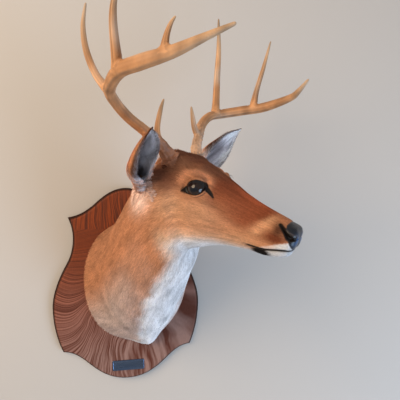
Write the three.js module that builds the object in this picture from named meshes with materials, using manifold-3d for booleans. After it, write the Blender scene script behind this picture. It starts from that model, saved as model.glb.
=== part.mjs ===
// A white-tailed buck's shoulder mount on a wooden shield, life size, in millimetres.
// +Z is up and the wall is the plane y = 0, so the mount stands out of the wall along -Y and the buck's left is +X.
// The origin is on the shield's back face, where the wall screw would be.
import * as THREE from "three";
import { mergeVertices } from "three/addons/utils/BufferGeometryUtils.js";
import Module from "manifold-3d";

const wasm = await Module();
wasm.setup();

// ---------------------------------------------------------------- driving sizes
const GAP = 0.3; // between solids that touch
const DEG = Math.PI / 180;

const SHIELD = { top: 255, bottom: -259, halfWidth: 191, thick: 19, edge: 8 };
const PLATE = { wide: 84, high: 28, thick: 1.2, bevel: 0.6, height: -218 };

// The head's own frame has x forward along the muzzle, y to the buck's left and z up, from the tip of the nose.
const NOSE = new THREE.Vector3(289, -470, 191);
const HEAD = { turn: 49.6, pitch: -11.7, tilt: 3.2 };

const EYE = { at: [-188, 49, 53], radius: 17.5 };
// The nose pad and the lower jaw are cut from the head by planes square to the head's axes.
const NOSE_PAD = { back: -19, low: -13 };
const JAW = { back: -92, top: -24 };

const COLOURS = {
  coat: { color: "#b07a4e", roughness: 0.85 },
  throat: { color: "#d9d2c6", roughness: 0.85 },
  nose: { color: "#22252c", roughness: 0.35 },
  eye: { color: "#120c0a", roughness: 0.05 },
  antler: { color: "#b58a55", roughness: 0.5 },
  wood: { color: "#6b3d26", roughness: 0.45 },
  plate: { color: "#3a4d66", roughness: 0.3, metalness: 0.9 },
};

// ---------------------------------------------------------------- solids and meshes
function toSolid(geometry) {
  const bare = new THREE.BufferGeometry();
  bare.setAttribute("position", geometry.getAttribute("position"));
  bare.setIndex(geometry.getIndex());
  const merged = mergeVertices(bare, 1e-3);
  return new wasm.Manifold(
    new wasm.Mesh({
      numProp: 3,
      vertProperties: new Float32Array(merged.attributes.position.array),
      triVerts: new Uint32Array(merged.index.array),
    }),
  );
}

function toGeometry(solid) {
  const made = solid.getMesh();
  const geometry = new THREE.BufferGeometry();
  geometry.setAttribute("position", new THREE.BufferAttribute(new Float32Array(made.vertProperties), 3));
  geometry.setIndex(new THREE.BufferAttribute(new Uint32Array(made.triVerts), 1));
  return geometry;
}

function toMesh(name, solid, look) {
  const geometry = toGeometry(solid);
  geometry.computeVertexNormals();
  const mesh = new THREE.Mesh(geometry, new THREE.MeshStandardMaterial(COLOURS[look]));
  mesh.name = name;
  return mesh;
}

// A closed skin over rings of points: each ring has as many points, and the ends are closed by a fan to a point.
function skinOver(rings, firstEnd, lastEnd) {
  const around = rings[0].length;
  const points = [...rings.flat(), firstEnd, lastEnd];
  const positions = new Float32Array(points.flatMap((p) => [p.x, p.y, p.z]));
  const first = rings.length * around;
  const last = first + 1;
  const faces = [];
  for (let j = 0; j < around; j++) {
    const k = (j + 1) % around;
    faces.push(first, j, k);
    faces.push(last, (rings.length - 1) * around + k, (rings.length - 1) * around + j);
    for (let i = 0; i + 1 < rings.length; i++) {
      const a = i * around + j;
      const b = i * around + k;
      faces.push(a, a + around, b + around);
      faces.push(a, b + around, b);
    }
  }
  const geometry = new THREE.BufferGeometry();
  geometry.setAttribute("position", new THREE.BufferAttribute(positions, 3));
  geometry.setIndex(faces);
  return geometry;
}

// The biggest piece of a solid that a cut has left in several, at a mesh's own precision.
function largest(solid) {
  const pieces = toSolid(toGeometry(solid)).decompose();
  return pieces.reduce((best, p) => (p.volume() > best.volume() ? p : best));
}

const middleOf = (ring) => ring.reduce((sum, p) => sum.add(p), new THREE.Vector3()).divideScalar(ring.length);

// A box as a solid, between two corners.
function block(low, high) {
  const size = high.clone().sub(low);
  const middle = low.clone().add(high).multiplyScalar(0.5);
  return toSolid(new THREE.BoxGeometry(size.x, size.y, size.z).translate(middle.x, middle.y, middle.z));
}

// ---------------------------------------------------------------- smooth values along a list
// A curve through evenly numbered values that never swings past them.
function smoothThrough(values) {
  const steps = values.slice(1).map((v, i) => v - values[i]);
  const slopes = values.map((_, i) => {
    if (i === 0) return steps[0];
    if (i === values.length - 1) return steps[i - 1];
    const [a, b] = [steps[i - 1], steps[i]];
    return a * b <= 0 ? 0 : (2 * a * b) / (a + b);
  });
  return (t) => {
    const i = Math.min(Math.max(Math.floor(t), 0), values.length - 2);
    const u = t - i;
    const [uu, uuu] = [u * u, u * u * u];
    return (
      values[i] * (2 * uuu - 3 * uu + 1) +
      slopes[i] * (uuu - 2 * uu + u) +
      values[i + 1] * (3 * uu - 2 * uuu) +
      slopes[i + 1] * (uuu - uu)
    );
  };
}

const bell = (x) => Math.exp(-x * x);

// ---------------------------------------------------------------- the head's frame
// Axes of a cross-section that faces turn degrees to the buck's left and pitch degrees up, leaning by tilt.
function axes(turn, pitch, tilt) {
  const [a, b, c] = [turn * DEG, pitch * DEG, tilt * DEG];
  const forward = new THREE.Vector3(Math.sin(a) * Math.cos(b), -Math.cos(a) * Math.cos(b), Math.sin(b));
  const level = new THREE.Vector3(Math.cos(a), Math.sin(a), 0);
  const above = new THREE.Vector3().crossVectors(forward, level);
  const left = level.clone().multiplyScalar(Math.cos(c)).addScaledVector(above, Math.sin(c));
  const up = above.clone().multiplyScalar(Math.cos(c)).addScaledVector(level, -Math.sin(c));
  return { forward, left, up };
}

const headAxes = axes(HEAD.turn, HEAD.pitch, HEAD.tilt);
const headMatrix = new THREE.Matrix4()
  .makeBasis(headAxes.forward, headAxes.left, headAxes.up)
  .setPosition(NOSE);
const toHead = headMatrix.clone().invert();
const inHead = (x, y, z) => new THREE.Vector3(x, y, z).applyMatrix4(headMatrix);

// ---------------------------------------------------------------- head, neck and shoulder
// Cross-sections from the nose back to the wall, each between a point on the back line and one on the throat
// line. mid is how far up the widest place is, wide half the width there, taper the share by which the top is
// wider and the low side narrower, and square 2 for an oval and more for a squarer one.
// Those of the head give heights at x in the head's frame; lowX is how much further forward the low point is.
const HEAD_SECTIONS = [
  { x: -2, top: 8, low: -4, lowX: 0, mid: 2, wide: 8, taper: 0, square: 2 },
  { x: -5, top: 15, low: -11, lowX: 0, mid: 2, wide: 16, taper: 0, square: 2.2 },
  { x: -10, top: 21, low: -19, lowX: 0, mid: 2, wide: 23, taper: 0, square: 2.3 },
  { x: -18, top: 25, low: -32, lowX: 0, mid: 2, wide: 28, taper: -0.05, square: 2.3 },
  { x: -32, top: 30, low: -38, lowX: 0, mid: 2, wide: 30, taper: -0.1, square: 2.3 },
  { x: -55, top: 36, low: -42, lowX: 0, mid: 3, wide: 30, taper: -0.12, square: 2.3 },
  { x: -85, top: 44, low: -42, lowX: 0, mid: 5, wide: 32, taper: -0.1, square: 2.3 },
  { x: -115, top: 54, low: -45, lowX: 0, mid: 8, wide: 37, taper: 0, square: 2.3 },
  { x: -145, top: 66, low: -50, lowX: 0, mid: 13, wide: 46, taper: 0.1, square: 2.3 },
  { x: -175, top: 79, low: -56, lowX: 4, mid: 18, wide: 56, taper: 0.16, square: 2.3 },
  { x: -208, top: 91, low: -64, lowX: 14, mid: 20, wide: 62, taper: 0.12, square: 2.2 },
  { x: -240, top: 99, low: -72, lowX: 32, mid: 18, wide: 63, taper: 0.06, square: 2.1 },
  { x: -272, top: 99, low: -92, lowX: 55, mid: 3, wide: 66, taper: 0, square: 2 },
];
// Those of the neck give both points in the mount's frame, and turn is how far the neck has turned to its left.
const NECK_SECTIONS = [
  { top: [82, -270, 332], low: [111, -303, 107], mid: 0.5, wide: 77, taper: 0, square: 2, turn: 38 },
  { top: [60, -205, 283], low: [82, -240, 28], mid: 0.5, wide: 91, taper: 0.02, square: 2, turn: 26 },
  { top: [41, -140, 222], low: [56, -164, -58], mid: 0.5, wide: 102, taper: 0.02, square: 2, turn: 14 },
  { top: [24, -70, 190], low: [50, -74, -118], mid: 0.5, wide: 116, taper: 0.06, square: 2, turn: 5 },
  { top: [-2, 0, 168], low: [28, 0, -148], mid: 0.5, wide: 126, taper: -0.05, square: 2.15, turn: 0 },
];
const BRISKET = { at: [48, -30, -140], reach: [30, 45, 40], push: [6, 0, -22] };

const SHOULDER_BACK = -SHIELD.thick - GAP;
const SECTIONS = [
  ...HEAD_SECTIONS.map((s) => ({
    ...s,
    top: inHead(s.x, 0, s.top).toArray(),
    low: inHead(s.x + s.lowX, 0, s.low).toArray(),
    mid: (s.mid - s.low) / (s.top - s.low),
    turn: HEAD.turn,
    lean: HEAD.tilt,
  })),
  ...NECK_SECTIONS.map((s, i) => {
    const lean = HEAD.tilt * (1 - (i + 1) / NECK_SECTIONS.length);
    const last = i === NECK_SECTIONS.length - 1;
    const onWall = (p) => (last ? [p[0], SHOULDER_BACK, p[2]] : p);
    return { ...s, top: onWall(s.top), low: onWall(s.low), lean };
  }),
];
// The head ends in a plane through these points [x, z] of its frame, and the neck at the section of this number.
const HEAD_END = { poll: [-318, 82], throat: [-203, -72] };
const NECK_END = 15.6;

const sectionCurves = Object.fromEntries(
  ["wide", "mid", "taper", "square", "turn", "lean"].map((key) => [key, smoothThrough(SECTIONS.map((s) => s[key]))]),
);
const lineCurve = (key) => {
  const curves = [0, 1, 2].map((k) => smoothThrough(SECTIONS.map((s) => s[key][k])));
  return (t) => new THREE.Vector3(...curves.map((f) => f(t)));
};
const backLine = lineCurve("top");
const throatLine = lineCurve("low");

// Forms that stand out of the plain sections or sink into them, in the head's frame and on both sides.
const FORMS = [
  { at: [-182, 58, 82], reach: [25, 20, 15], push: [3, 14, 4] }, // brow over the eye
  { at: [-205, 62, 30], reach: [30, 20, 22], push: [0, 3, 0] }, // cheek bone
  { at: [-150, 48, 42], reach: [20, 14, 14], push: [0, -4, 0] }, // hollow before the eye
  { at: [-248, 44, 90], reach: [22, 18, 18], push: [0, 2, 7] }, // under the antler
  { at: [-30, 27, 8], reach: [12, 10, 10], push: [0, 2.5, 0] }, // nostril's wing
  { at: [-110, 36, -5], reach: [35, 14, 14], push: [0, -2, 0] }, // hollow of the cheek
  { at: [-300, 64, 44], reach: [30, 28, 28], push: [-3, 16, 8] }, // root of the ear
];

function pushOf(form, x, y, z) {
  return (
    bell((x - form.at[0]) / form.reach[0]) *
    bell((y - form.at[1]) / form.reach[1]) *
    bell((z - form.at[2]) / form.reach[2])
  );
}

function formed(point) {
  const p = point.clone().applyMatrix4(toHead);
  const moved = p.clone();
  for (const form of FORMS) {
    for (const side of [1, -1]) {
      const amount = pushOf(form, p.x, side * p.y, p.z);
      moved.add(new THREE.Vector3(form.push[0], side * form.push[1], form.push[2]).multiplyScalar(amount));
    }
  }
  const brisket = pushOf(BRISKET, point.x, point.y, point.z);
  return moved.applyMatrix4(headMatrix).addScaledVector(new THREE.Vector3(...BRISKET.push), brisket);
}

// The plane of a section: its widest place's centre and its axes.
function sectionFrame(t) {
  const v = Object.fromEntries(Object.entries(sectionCurves).map(([key, curve]) => [key, curve(t)]));
  const [top, low] = [backLine(t), throatLine(t)];
  const centre = low.clone().lerp(top, v.mid);
  const up = top.clone().sub(low).normalize();
  const left = new THREE.Vector3(Math.cos(v.turn * DEG), Math.sin(v.turn * DEG), Math.sin(v.lean * DEG));
  left.addScaledVector(up, -left.dot(up)).normalize();
  return { v, centre, left, up, above: top.distanceTo(centre), below: low.distanceTo(centre) };
}

function sectionAt(t, around, grow) {
  const { v, centre, left, up, above, below } = sectionFrame(t);
  const power = 2 / v.square;
  const points = [];
  for (let j = 0; j < around; j++) {
    const angle = (2 * Math.PI * j) / around;
    const [c, s] = [Math.cos(angle), Math.sin(angle)];
    const across = (v.wide + grow) * Math.sign(c) * Math.abs(c) ** power * (1 + v.taper * s);
    const height = ((s > 0 ? above : below) + grow) * Math.sign(s) * Math.abs(s) ** power;
    points.push(formed(centre.clone().addScaledVector(left, across).addScaledVector(up, height)));
  }
  return points;
}

function body(around, step, grow = 0) {
  const count = Math.ceil((SECTIONS.length - 1) / step);
  const rings = [];
  for (let i = 0; i <= count; i++) rings.push(sectionAt(((SECTIONS.length - 1) * i) / count, around, grow));
  return toSolid(skinOver(rings, middleOf(rings[0]), middleOf(rings[count])));
}

// The plane behind the head, square to its middle plane.
function headEnd() {
  const [poll, throat] = [HEAD_END.poll, HEAD_END.throat].map(([x, z]) => inHead(x, 0, z));
  return { centre: throat.clone().lerp(poll, 0.5), left: headAxes.left, up: poll.sub(throat).normalize() };
}

// All that lies before a plane, or with way -1 all that lies behind it, less half the gap there.
function partedAt({ centre, left, up }, way) {
  const forward = new THREE.Vector3().crossVectors(left, up);
  const far = 900;
  const box = way > 0 ? [GAP / 2, far] : [-far, -GAP / 2];
  const place = new THREE.Matrix4().makeBasis(forward, left, up).setPosition(centre);
  return block(new THREE.Vector3(box[0], -far, -far), new THREE.Vector3(box[1], far, far)).transform(place.elements);
}

// ---------------------------------------------------------------- ears
// An ear is a leaf rolled into a cup: s runs from its root to its tip and q from edge to edge. half is half its
// width, measured round the roll, and roll half the angle that it curls through. Below footFrom the ear bends into
// the head, by foot where it ends, and narrows.
const EAR = { long: 159, root: -0.3, thick: 5, set: 14, footFrom: 0.12 };
const EAR_HALF = { foot: 55, widest: 49.6, widestAt: 0.26, point: 1.47, narrowing: 80 };
const EAR_ROLL = { foot: 162 * DEG, open: 78 * DEG, openAt: 0.43, tip: 30 * DEG };
const EARS = {
  right: {
    side: -1,
    root: [-304, 77.5, 57.8],
    foot: [26, -38, -14],
    rise: 40.5 * DEG,
    out: 48.5 * DEG,
    spin: 4.5 * DEG,
    bend: 30,
  },
  left: {
    side: 1,
    root: [-285, 86, 57.5],
    foot: [4, -8, -6],
    rise: 36 * DEG,
    out: 66.5 * DEG,
    spin: -1 * DEG,
    bend: 6.5,
  },
};

function earHalf(s) {
  if (s < EAR_HALF.widestAt) {
    const u = Math.sin((Math.max(s, 0) / EAR_HALF.widestAt) * 90 * DEG);
    return EAR_HALF.foot + (EAR_HALF.widest - EAR_HALF.foot) * u + EAR_HALF.narrowing * Math.min(s, 0);
  }
  const u = (s - EAR_HALF.widestAt) / (1 - EAR_HALF.widestAt);
  return EAR_HALF.widest * Math.max(0, 1 - u * u) ** EAR_HALF.point;
}

function earRoll(s) {
  if (s < EAR_ROLL.openAt) {
    const u = Math.sin((Math.max(s, 0) / EAR_ROLL.openAt) * 90 * DEG);
    return EAR_ROLL.foot + (EAR_ROLL.open - EAR_ROLL.foot) * u;
  }
  return EAR_ROLL.open + ((EAR_ROLL.tip - EAR_ROLL.open) * (s - EAR_ROLL.openAt)) / (1 - EAR_ROLL.openAt);
}

function earPoint(ear, s, q, depth) {
  const along = new THREE.Vector3(
    Math.cos(ear.rise) * Math.cos(ear.out),
    Math.cos(ear.rise) * Math.sin(ear.out),
    Math.sin(ear.rise),
  );
  const open = new THREE.Vector3(1, 0, 0);
  open.addScaledVector(along, -open.dot(along)).normalize().applyAxisAngle(along, ear.spin);
  const across = new THREE.Vector3().crossVectors(along, open);
  const roll = earRoll(s);
  const radius = earHalf(s) / roll;
  const inner = radius - depth;
  const p = new THREE.Vector3(...ear.root).addScaledVector(along, EAR.long * s);
  p.addScaledVector(across, inner * Math.sin(q * roll));
  p.addScaledVector(open, radius - inner * Math.cos(q * roll) - EAR.set + ear.bend * s * Math.abs(s));
  const sunk = Math.max(0, (EAR.footFrom - s) / (EAR.footFrom - EAR.root)) ** 2;
  p.addScaledVector(new THREE.Vector3(...ear.foot), sunk);
  return inHead(p.x, ear.side * p.y, p.z);
}

function earSolid(ear) {
  const [rows, columns] = [13, 10];
  const rings = [];
  for (let i = 0; i < rows; i++) {
    const s = EAR.root + (0.985 - EAR.root) * (i / (rows - 1));
    const thick = EAR.thick * (1 - 0.45 * Math.max(s, 0));
    const ring = [];
    for (let j = 0; j <= columns; j++) ring.push(earPoint(ear, s, -1 + (2 * j) / columns, 0));
    for (let j = columns; j >= 0; j--) ring.push(earPoint(ear, s, -1 + (2 * j) / columns, thick));
    rings.push(ear.side > 0 ? ring : ring.reverse());
  }
  const middle = (i) => earPoint(ear, i ? 0.985 : EAR.root, 0, EAR.thick / 2);
  return toSolid(skinOver(rings, middle(0), middle(1)));
}

// ---------------------------------------------------------------- antlers
// Points of each antler in the head's frame, [x, outward, z], with the radius there. The first point of a tine is
// inside the beam that it grows from.
const RIGHT_ANTLER = {
  beam: [
    [-246, 38, 78, 12], [-257, 44, 93, 12], [-266, 68, 119, 9.6], [-278, 95, 136, 8.8], [-293, 123, 155, 8.4],
    [-294, 155, 176, 8.3], [-282, 186, 196, 9], [-239, 217, 222, 10.3], [-198, 225, 236, 10.5], [-155, 214, 255, 8.5],
    [-122, 198, 277, 5.5], [-88, 180, 300, 2],
  ],
  forks: [6, 7, 8.7],
  tines: {
    brow: [[-266, 70, 121, 6.5], [-276, 64, 142, 5], [-282, 53, 172, 3.8], [-284, 44, 194, 1.2]],
    second: [[-285, 181, 193, 8], [-306, 190, 213, 5.8], [-326, 195, 246, 4.9], [-335, 197, 281, 3.6], [-338, 192, 316, 1.2]],
    third: [[-238, 218, 223, 9], [-235, 231, 250, 6.6], [-234, 242, 285, 5.2], [-231, 245, 312, 3.6], [-222, 242, 345, 1.2]],
    fourth: [[-165, 218, 250, 8], [-167, 216, 270, 4.4], [-166, 211, 288, 2.8], [-162, 206, 300, 1]],
  },
};
const LEFT_ANTLER = {
  beam: [
    [-246, 38, 88, 12], [-256, 45, 106, 12], [-274, 76, 126, 9.8], [-290, 110, 148, 9.4], [-295, 145, 166, 9.4],
    [-284, 180, 175, 10], [-249, 212, 189, 10.3], [-203, 224, 204, 10], [-148, 217, 230, 7.5], [-127, 205, 247, 5.5],
    [-106, 191, 272, 1.8],
  ],
  forks: [4.6, 6.4],
  tines: {
    brow: [[-273, 75, 124, 7], [-278, 62, 145, 5.6], [-280, 52, 167, 3.9], [-283, 46, 186, 1.2]],
    second: [[-291, 163, 170, 9.3], [-307, 184, 205, 8], [-320, 196, 255, 7], [-326, 195, 315, 5.2], [-334, 188, 378, 1.3]],
    third: [[-229, 219, 196, 9], [-233, 230, 235, 6], [-230, 240, 290, 4.4], [-227, 247, 348, 1.2]],
  },
};
const BURR = { radius: 15.5, at: 1, reach: 0.3, knobs: 11 };
const BEAM_SIDES = 12;
const TINE_SIDES = 9;
const BEAM_STEP = 0.36; // of a point's number, as FORK_CUT is
const TINE_STEP = 0.34;
const FORK_CUT = 0.012;
const TIP = 1.5;

// Rings of round section along a list of points, whose fourth value is the radius, at the numbers in stops.
function hornRings(side, points, around, stops, grow = 0, bulge = () => 1) {
  const place = points.map((p) => inHead(p[0], side * p[1], p[2]));
  const curve = [0, 1, 2].map((k) => smoothCurve(place.map((p) => p.getComponent(k))));
  const radius = smoothThrough(points.map((p) => p[3]));
  const at = (t) => new THREE.Vector3(...curve.map((f) => f(t)));
  const start = at(0.01).sub(at(0)).normalize();
  let across = Math.abs(start.z) < 0.7 ? new THREE.Vector3(0, 0, 1) : new THREE.Vector3(0, 1, 0);
  return stops.map((t) => {
    const along = at(t + 0.01).sub(at(t - 0.01)).normalize();
    across = across.clone().addScaledVector(along, -across.dot(along)).normalize();
    const third = new THREE.Vector3().crossVectors(along, across);
    const ring = [];
    for (let j = 0; j < around; j++) {
      const angle = (-2 * Math.PI * j) / around;
      const r = (radius(t) + grow) * bulge(t, angle);
      const p = at(t).addScaledVector(across, r * Math.cos(angle)).addScaledVector(third, r * Math.sin(angle));
      ring.push(p);
    }
    return ring;
  });
}

// A solid over such rings, which ends in a point a little way past the last one where that is a tip.
function hornSolid(rings, tip = 0) {
  const last = middleOf(rings[rings.length - 1]);
  const along = last.clone().sub(middleOf(rings[rings.length - 2])).normalize();
  return toSolid(skinOver(rings, middleOf(rings[0]), last.addScaledVector(along, tip)));
}

// Evenly spaced numbers from one to another, no further apart than step.
function evenly(from, to, step) {
  const count = Math.max(1, Math.ceil((to - from) / step));
  return Array.from({ length: count + 1 }, (_, i) => from + ((to - from) * i) / count);
}

// A rounded curve through evenly numbered values.
function smoothCurve(values) {
  const n = values.length;
  const slope = (i) => (values[Math.min(i + 1, n - 1)] - values[Math.max(i - 1, 0)]) / 2;
  return (t) => {
    const i = Math.min(Math.max(Math.floor(t), 0), n - 2);
    const u = t - i;
    const [uu, uuu] = [u * u, u * u * u];
    return (
      values[i] * (2 * uuu - 3 * uu + 1) +
      slope(i) * (uuu - 2 * uu + u) +
      values[i + 1] * (3 * uu - 2 * uuu) +
      slope(i + 1) * (uuu - uu)
    );
  };
}

// The coronet swells the foot of the beam into a knobbly ring.
function coronet(t, angle) {
  const ring = bell((t - BURR.at) / BURR.reach);
  return 1 + ring * (BURR.radius / 12 - 1) * (1 + 0.2 * Math.cos(BURR.knobs * angle));
}

function antler(sideName, side, shape) {
  const ends = [0, ...shape.forks, shape.beam.length - 1];
  const runs = ends.slice(1).map((to, i) => {
    const from = ends[i] + (i ? FORK_CUT : 0);
    return evenly(from, i + 2 < ends.length ? to - FORK_CUT : to, BEAM_STEP);
  });
  const rings = hornRings(side, shape.beam, BEAM_SIDES, runs.flat(), 0, coronet);
  const whole = hornSolid(hornRings(side, shape.beam, BEAM_SIDES, runs.flat(), GAP, coronet), TIP);
  const meshes = [];
  let first = 0;
  runs.forEach((run, i) => {
    const piece = hornSolid(rings.slice(first, first + run.length), i + 1 < runs.length ? 0 : TIP);
    meshes.push([`antler_${sideName}_beam_${i + 1}`, piece]);
    first += run.length;
  });
  for (const [name, points] of Object.entries(shape.tines)) {
    const stops = evenly(0, points.length - 1, TINE_STEP);
    const tine = hornSolid(hornRings(side, points, TINE_SIDES, stops), TIP);
    meshes.push([`antler_${sideName}_${name}_tine`, largest(tine.subtract(whole))]);
  }
  return { whole, meshes };
}

// ---------------------------------------------------------------- the shield and its plate
function shieldOutline() {
  const { top, bottom, halfWidth } = SHIELD;
  const shape = new THREE.Shape();
  const run = (side) => [
    [side * 45, bottom, side * 74, bottom + 22, side * 98, bottom + 44],
    [side * 118, bottom + 62, side * 136, bottom + 82, side * 167, bottom + 84],
    [side * 183, -140, side * halfWidth, -95, side * halfWidth, -57],
    [side * halfWidth, -12, side * 168, 34, side * 150, 66],
    [side * 136, 94, side * 128, 140, side * 147, 181],
    [side * 122, 184, side * 104, top - 60, side * 84, top - 44],
    [side * 62, top - 24, side * 36, top, 0, top],
  ];
  shape.moveTo(0, bottom);
  for (const c of run(1)) shape.bezierCurveTo(...c);
  const back = run(-1);
  for (let i = back.length - 1; i >= 0; i--) {
    const [ax, ay, bx, by] = back[i];
    const [x, y] = i ? back[i - 1].slice(4) : [0, bottom];
    shape.bezierCurveTo(bx, by, ax, ay, x, y);
  }
  return shape;
}

function shield() {
  const { thick, edge } = SHIELD;
  const behind = 12;
  const geometry = new THREE.ExtrudeGeometry(shieldOutline(), {
    depth: thick - 2 * edge + behind,
    bevelThickness: edge,
    bevelSize: edge,
    bevelOffset: -edge,
    bevelSegments: 3,
    curveSegments: 6,
  });
  geometry.translate(0, 0, edge - behind).rotateX(Math.PI / 2);
  const room = block(new THREE.Vector3(-400, 0, -400), new THREE.Vector3(400, 60, 400));
  return toSolid(geometry).subtract(room);
}

function namePlate() {
  const { wide, high, thick, bevel, height } = PLATE;
  const shape = new THREE.Shape();
  shape.moveTo(-wide / 2, -high / 2).lineTo(wide / 2, -high / 2).lineTo(wide / 2, high / 2).lineTo(-wide / 2, high / 2);
  const geometry = new THREE.ExtrudeGeometry(shape, {
    depth: thick - bevel,
    bevelThickness: bevel,
    bevelSize: bevel,
    bevelOffset: -bevel,
    bevelSegments: 1,
  });
  geometry.rotateX(Math.PI / 2).translate(0, -SHIELD.thick - GAP - bevel, height);
  return toSolid(geometry);
}

// ---------------------------------------------------------------- the mount
function eyeBall(side, radius) {
  const at = inHead(EYE.at[0], side * EYE.at[1], EYE.at[2]);
  return toSolid(new THREE.SphereGeometry(radius, 14, 8).translate(at.x, at.y, at.z));
}

// What lies in front of a plane x in the head's frame, and above or below a height z.
function frontOf(x, lowest, highest) {
  const far = 400;
  const box = block(new THREE.Vector3(x, -far, lowest), new THREE.Vector3(far, far, highest));
  return box.transform(headMatrix.elements);
}

const mount = new THREE.Group();
const add = (name, solid, look) => mount.add(toMesh(name, solid, look));

const AROUND = 28;
const STEP = 0.5;
const antlers = {
  right: antler("right", -1, RIGHT_ANTLER),
  left: antler("left", 1, LEFT_ANTLER),
};
const flesh = body(AROUND, STEP);
const ends = { head: headEnd(), neck: sectionFrame(NECK_END) };
const face = flesh.intersect(partedAt(ends.head, 1));
const cutOfHead = [
  antlers.right.whole,
  antlers.left.whole,
  eyeBall(1, EYE.radius + GAP),
  eyeBall(-1, EYE.radius + GAP),
  frontOf(NOSE_PAD.back - GAP / 2, NOSE_PAD.low - GAP / 2, 200),
  frontOf(JAW.back - GAP / 2, -200, JAW.top + GAP / 2),
];

add("nose", face.intersect(frontOf(NOSE_PAD.back + GAP / 2, NOSE_PAD.low + GAP / 2, 200)), "nose");
add("lower_jaw", face.intersect(frontOf(JAW.back + GAP / 2, -200, JAW.top - GAP / 2)), "throat");
add("head", cutOfHead.reduce((solid, cutter) => solid.subtract(cutter), face), "coat");
add("neck", flesh.intersect(partedAt(ends.head, -1)).intersect(partedAt(ends.neck, 1)), "coat");
add("shoulder", flesh.intersect(partedAt(ends.neck, -1)), "coat");

const grownFlesh = body(AROUND, STEP, GAP);
for (const [name, ear] of Object.entries(EARS)) {
  add(`ear_${name}`, largest(earSolid(ear).subtract(grownFlesh).subtract(antlers[name].whole)), "coat");
  add(`eye_${name}`, eyeBall(ear.side, EYE.radius), "eye");
  for (const [piece, solid] of antlers[name].meshes) add(piece, solid, "antler");
}
add("shield", shield(), "wood");
add("plate", namePlate(), "plate");

export default mount;
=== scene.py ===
"""The looks of a white-tailed buck's shoulder mount on a wooden shield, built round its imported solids.

Shapes are worked out in millimetres, in the mount's own frame: +Z up, the wall at y = 0 and the buck's
left at +X. "Head" in a comment means the head's own frame: x forward, y left and z up from the nose's tip.
"""

import bpy
import numpy as np
from mathutils import Matrix, Vector
from mathutils.bvhtree import BVHTree
from mathutils.geometry import tessellate_polygon
from mathutils.kdtree import KDTree


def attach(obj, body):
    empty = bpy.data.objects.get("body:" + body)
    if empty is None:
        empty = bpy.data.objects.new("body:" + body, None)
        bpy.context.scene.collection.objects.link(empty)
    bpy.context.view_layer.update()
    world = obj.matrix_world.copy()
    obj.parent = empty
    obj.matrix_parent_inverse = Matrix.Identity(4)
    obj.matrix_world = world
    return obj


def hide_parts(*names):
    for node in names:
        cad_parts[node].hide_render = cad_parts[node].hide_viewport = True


MM = 0.001
DEG = np.pi / 180

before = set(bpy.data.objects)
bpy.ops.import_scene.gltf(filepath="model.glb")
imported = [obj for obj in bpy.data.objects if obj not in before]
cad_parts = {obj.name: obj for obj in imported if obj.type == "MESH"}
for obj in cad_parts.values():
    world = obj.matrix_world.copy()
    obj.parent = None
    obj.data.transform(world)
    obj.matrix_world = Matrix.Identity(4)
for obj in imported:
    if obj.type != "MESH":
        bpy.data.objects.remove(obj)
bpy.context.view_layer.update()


# ---------------------------------------------------------------- meshes and numbers
def unit(v):
    return v / np.maximum(np.linalg.norm(v, axis=-1, keepdims=True), 1e-9)


def ramp(x, low, high):
    """0 below low and 1 above high, with a soft step between them."""
    u = np.clip((x - low) / (high - low), 0, 1)
    return u * u * (3 - 2 * u)


def bell(x):
    return np.exp(-x * x)


def lump(p, at, reach):
    """1 at a place, falling off over its reach along each axis."""
    x, y, z = (bell((p[..., k] - at[k]) / reach[k]) for k in range(3))
    return x * y * z


def mix(a, b, weight):
    weight = np.asarray(weight)[..., None]
    return a * (1 - weight) + b * weight


def ripple(p, size, seed, waves=14):
    """Smooth noise from -1 to 1 with lumps of about that size, from waves in random directions."""
    rng = np.random.default_rng(seed)
    total = np.zeros(p.shape[:-1])
    for _ in range(waves):
        direction = unit(rng.normal(size=p.shape[-1])) * 2 * np.pi / (size * rng.uniform(1.4, 2.8))
        total += np.sin(p @ direction + rng.uniform(0, 2 * np.pi))
    return total / np.sqrt(waves)


def hermite(v, slopes):
    """A smooth curve through evenly numbered values, or rows of values, with the slope given at each."""

    def at(t):
        t = np.atleast_1d(t)
        i = np.clip(np.floor(t).astype(int), 0, len(v) - 2)
        u = (t - i).reshape((-1,) + (1,) * (v.ndim - 1))
        return (
            v[i] * (2 * u**3 - 3 * u**2 + 1)
            + slopes[i] * (u**3 - 2 * u**2 + u)
            + v[i + 1] * (3 * u**2 - 2 * u**3)
            + slopes[i + 1] * (u**3 - u**2)
        )

    return at


def smooth_through(values):
    """A curve through evenly numbered values, or rows of values, that never swings past them."""
    v = np.asarray(values, float)
    steps = np.diff(v, axis=0)
    before, after = steps[:-1], steps[1:]
    same = before * after > 0
    slopes = np.zeros_like(v)
    slopes[0], slopes[-1] = steps[0], steps[-1]
    slopes[1:-1] = np.where(same, 2 * before * after / np.where(same, before + after, 1), 0)
    return hermite(v, slopes)


def round_curve(values):
    """A rounded curve through evenly numbered points."""
    v = np.asarray(values, float)
    number = np.arange(len(v))
    ahead, behind = np.minimum(number + 1, len(v) - 1), np.maximum(number - 1, 0)
    return hermite(v, (v[ahead] - v[behind]) / 2)


def make_object(name, points, faces, smooth=True):
    """An object from points in millimetres and an array of faces that all have as many corners."""
    mesh = bpy.data.meshes.new(name)
    faces = np.asarray(faces, np.int32)
    mesh.vertices.add(len(points))
    mesh.vertices.foreach_set("co", (np.asarray(points) * MM).astype(np.float32).ravel())
    mesh.loops.add(faces.size)
    mesh.loops.foreach_set("vertex_index", faces.ravel())
    mesh.polygons.add(len(faces))
    mesh.polygons.foreach_set("loop_start", np.arange(0, faces.size, faces.shape[1], dtype=np.int32))
    mesh.polygons.foreach_set("loop_total", np.full(len(faces), faces.shape[1], np.int32))
    mesh.polygons.foreach_set("use_smooth", np.full(len(faces), smooth))
    mesh.update(calc_edges=True)
    made = bpy.data.objects.new(name, mesh)
    bpy.context.scene.collection.objects.link(made)
    return made


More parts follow.
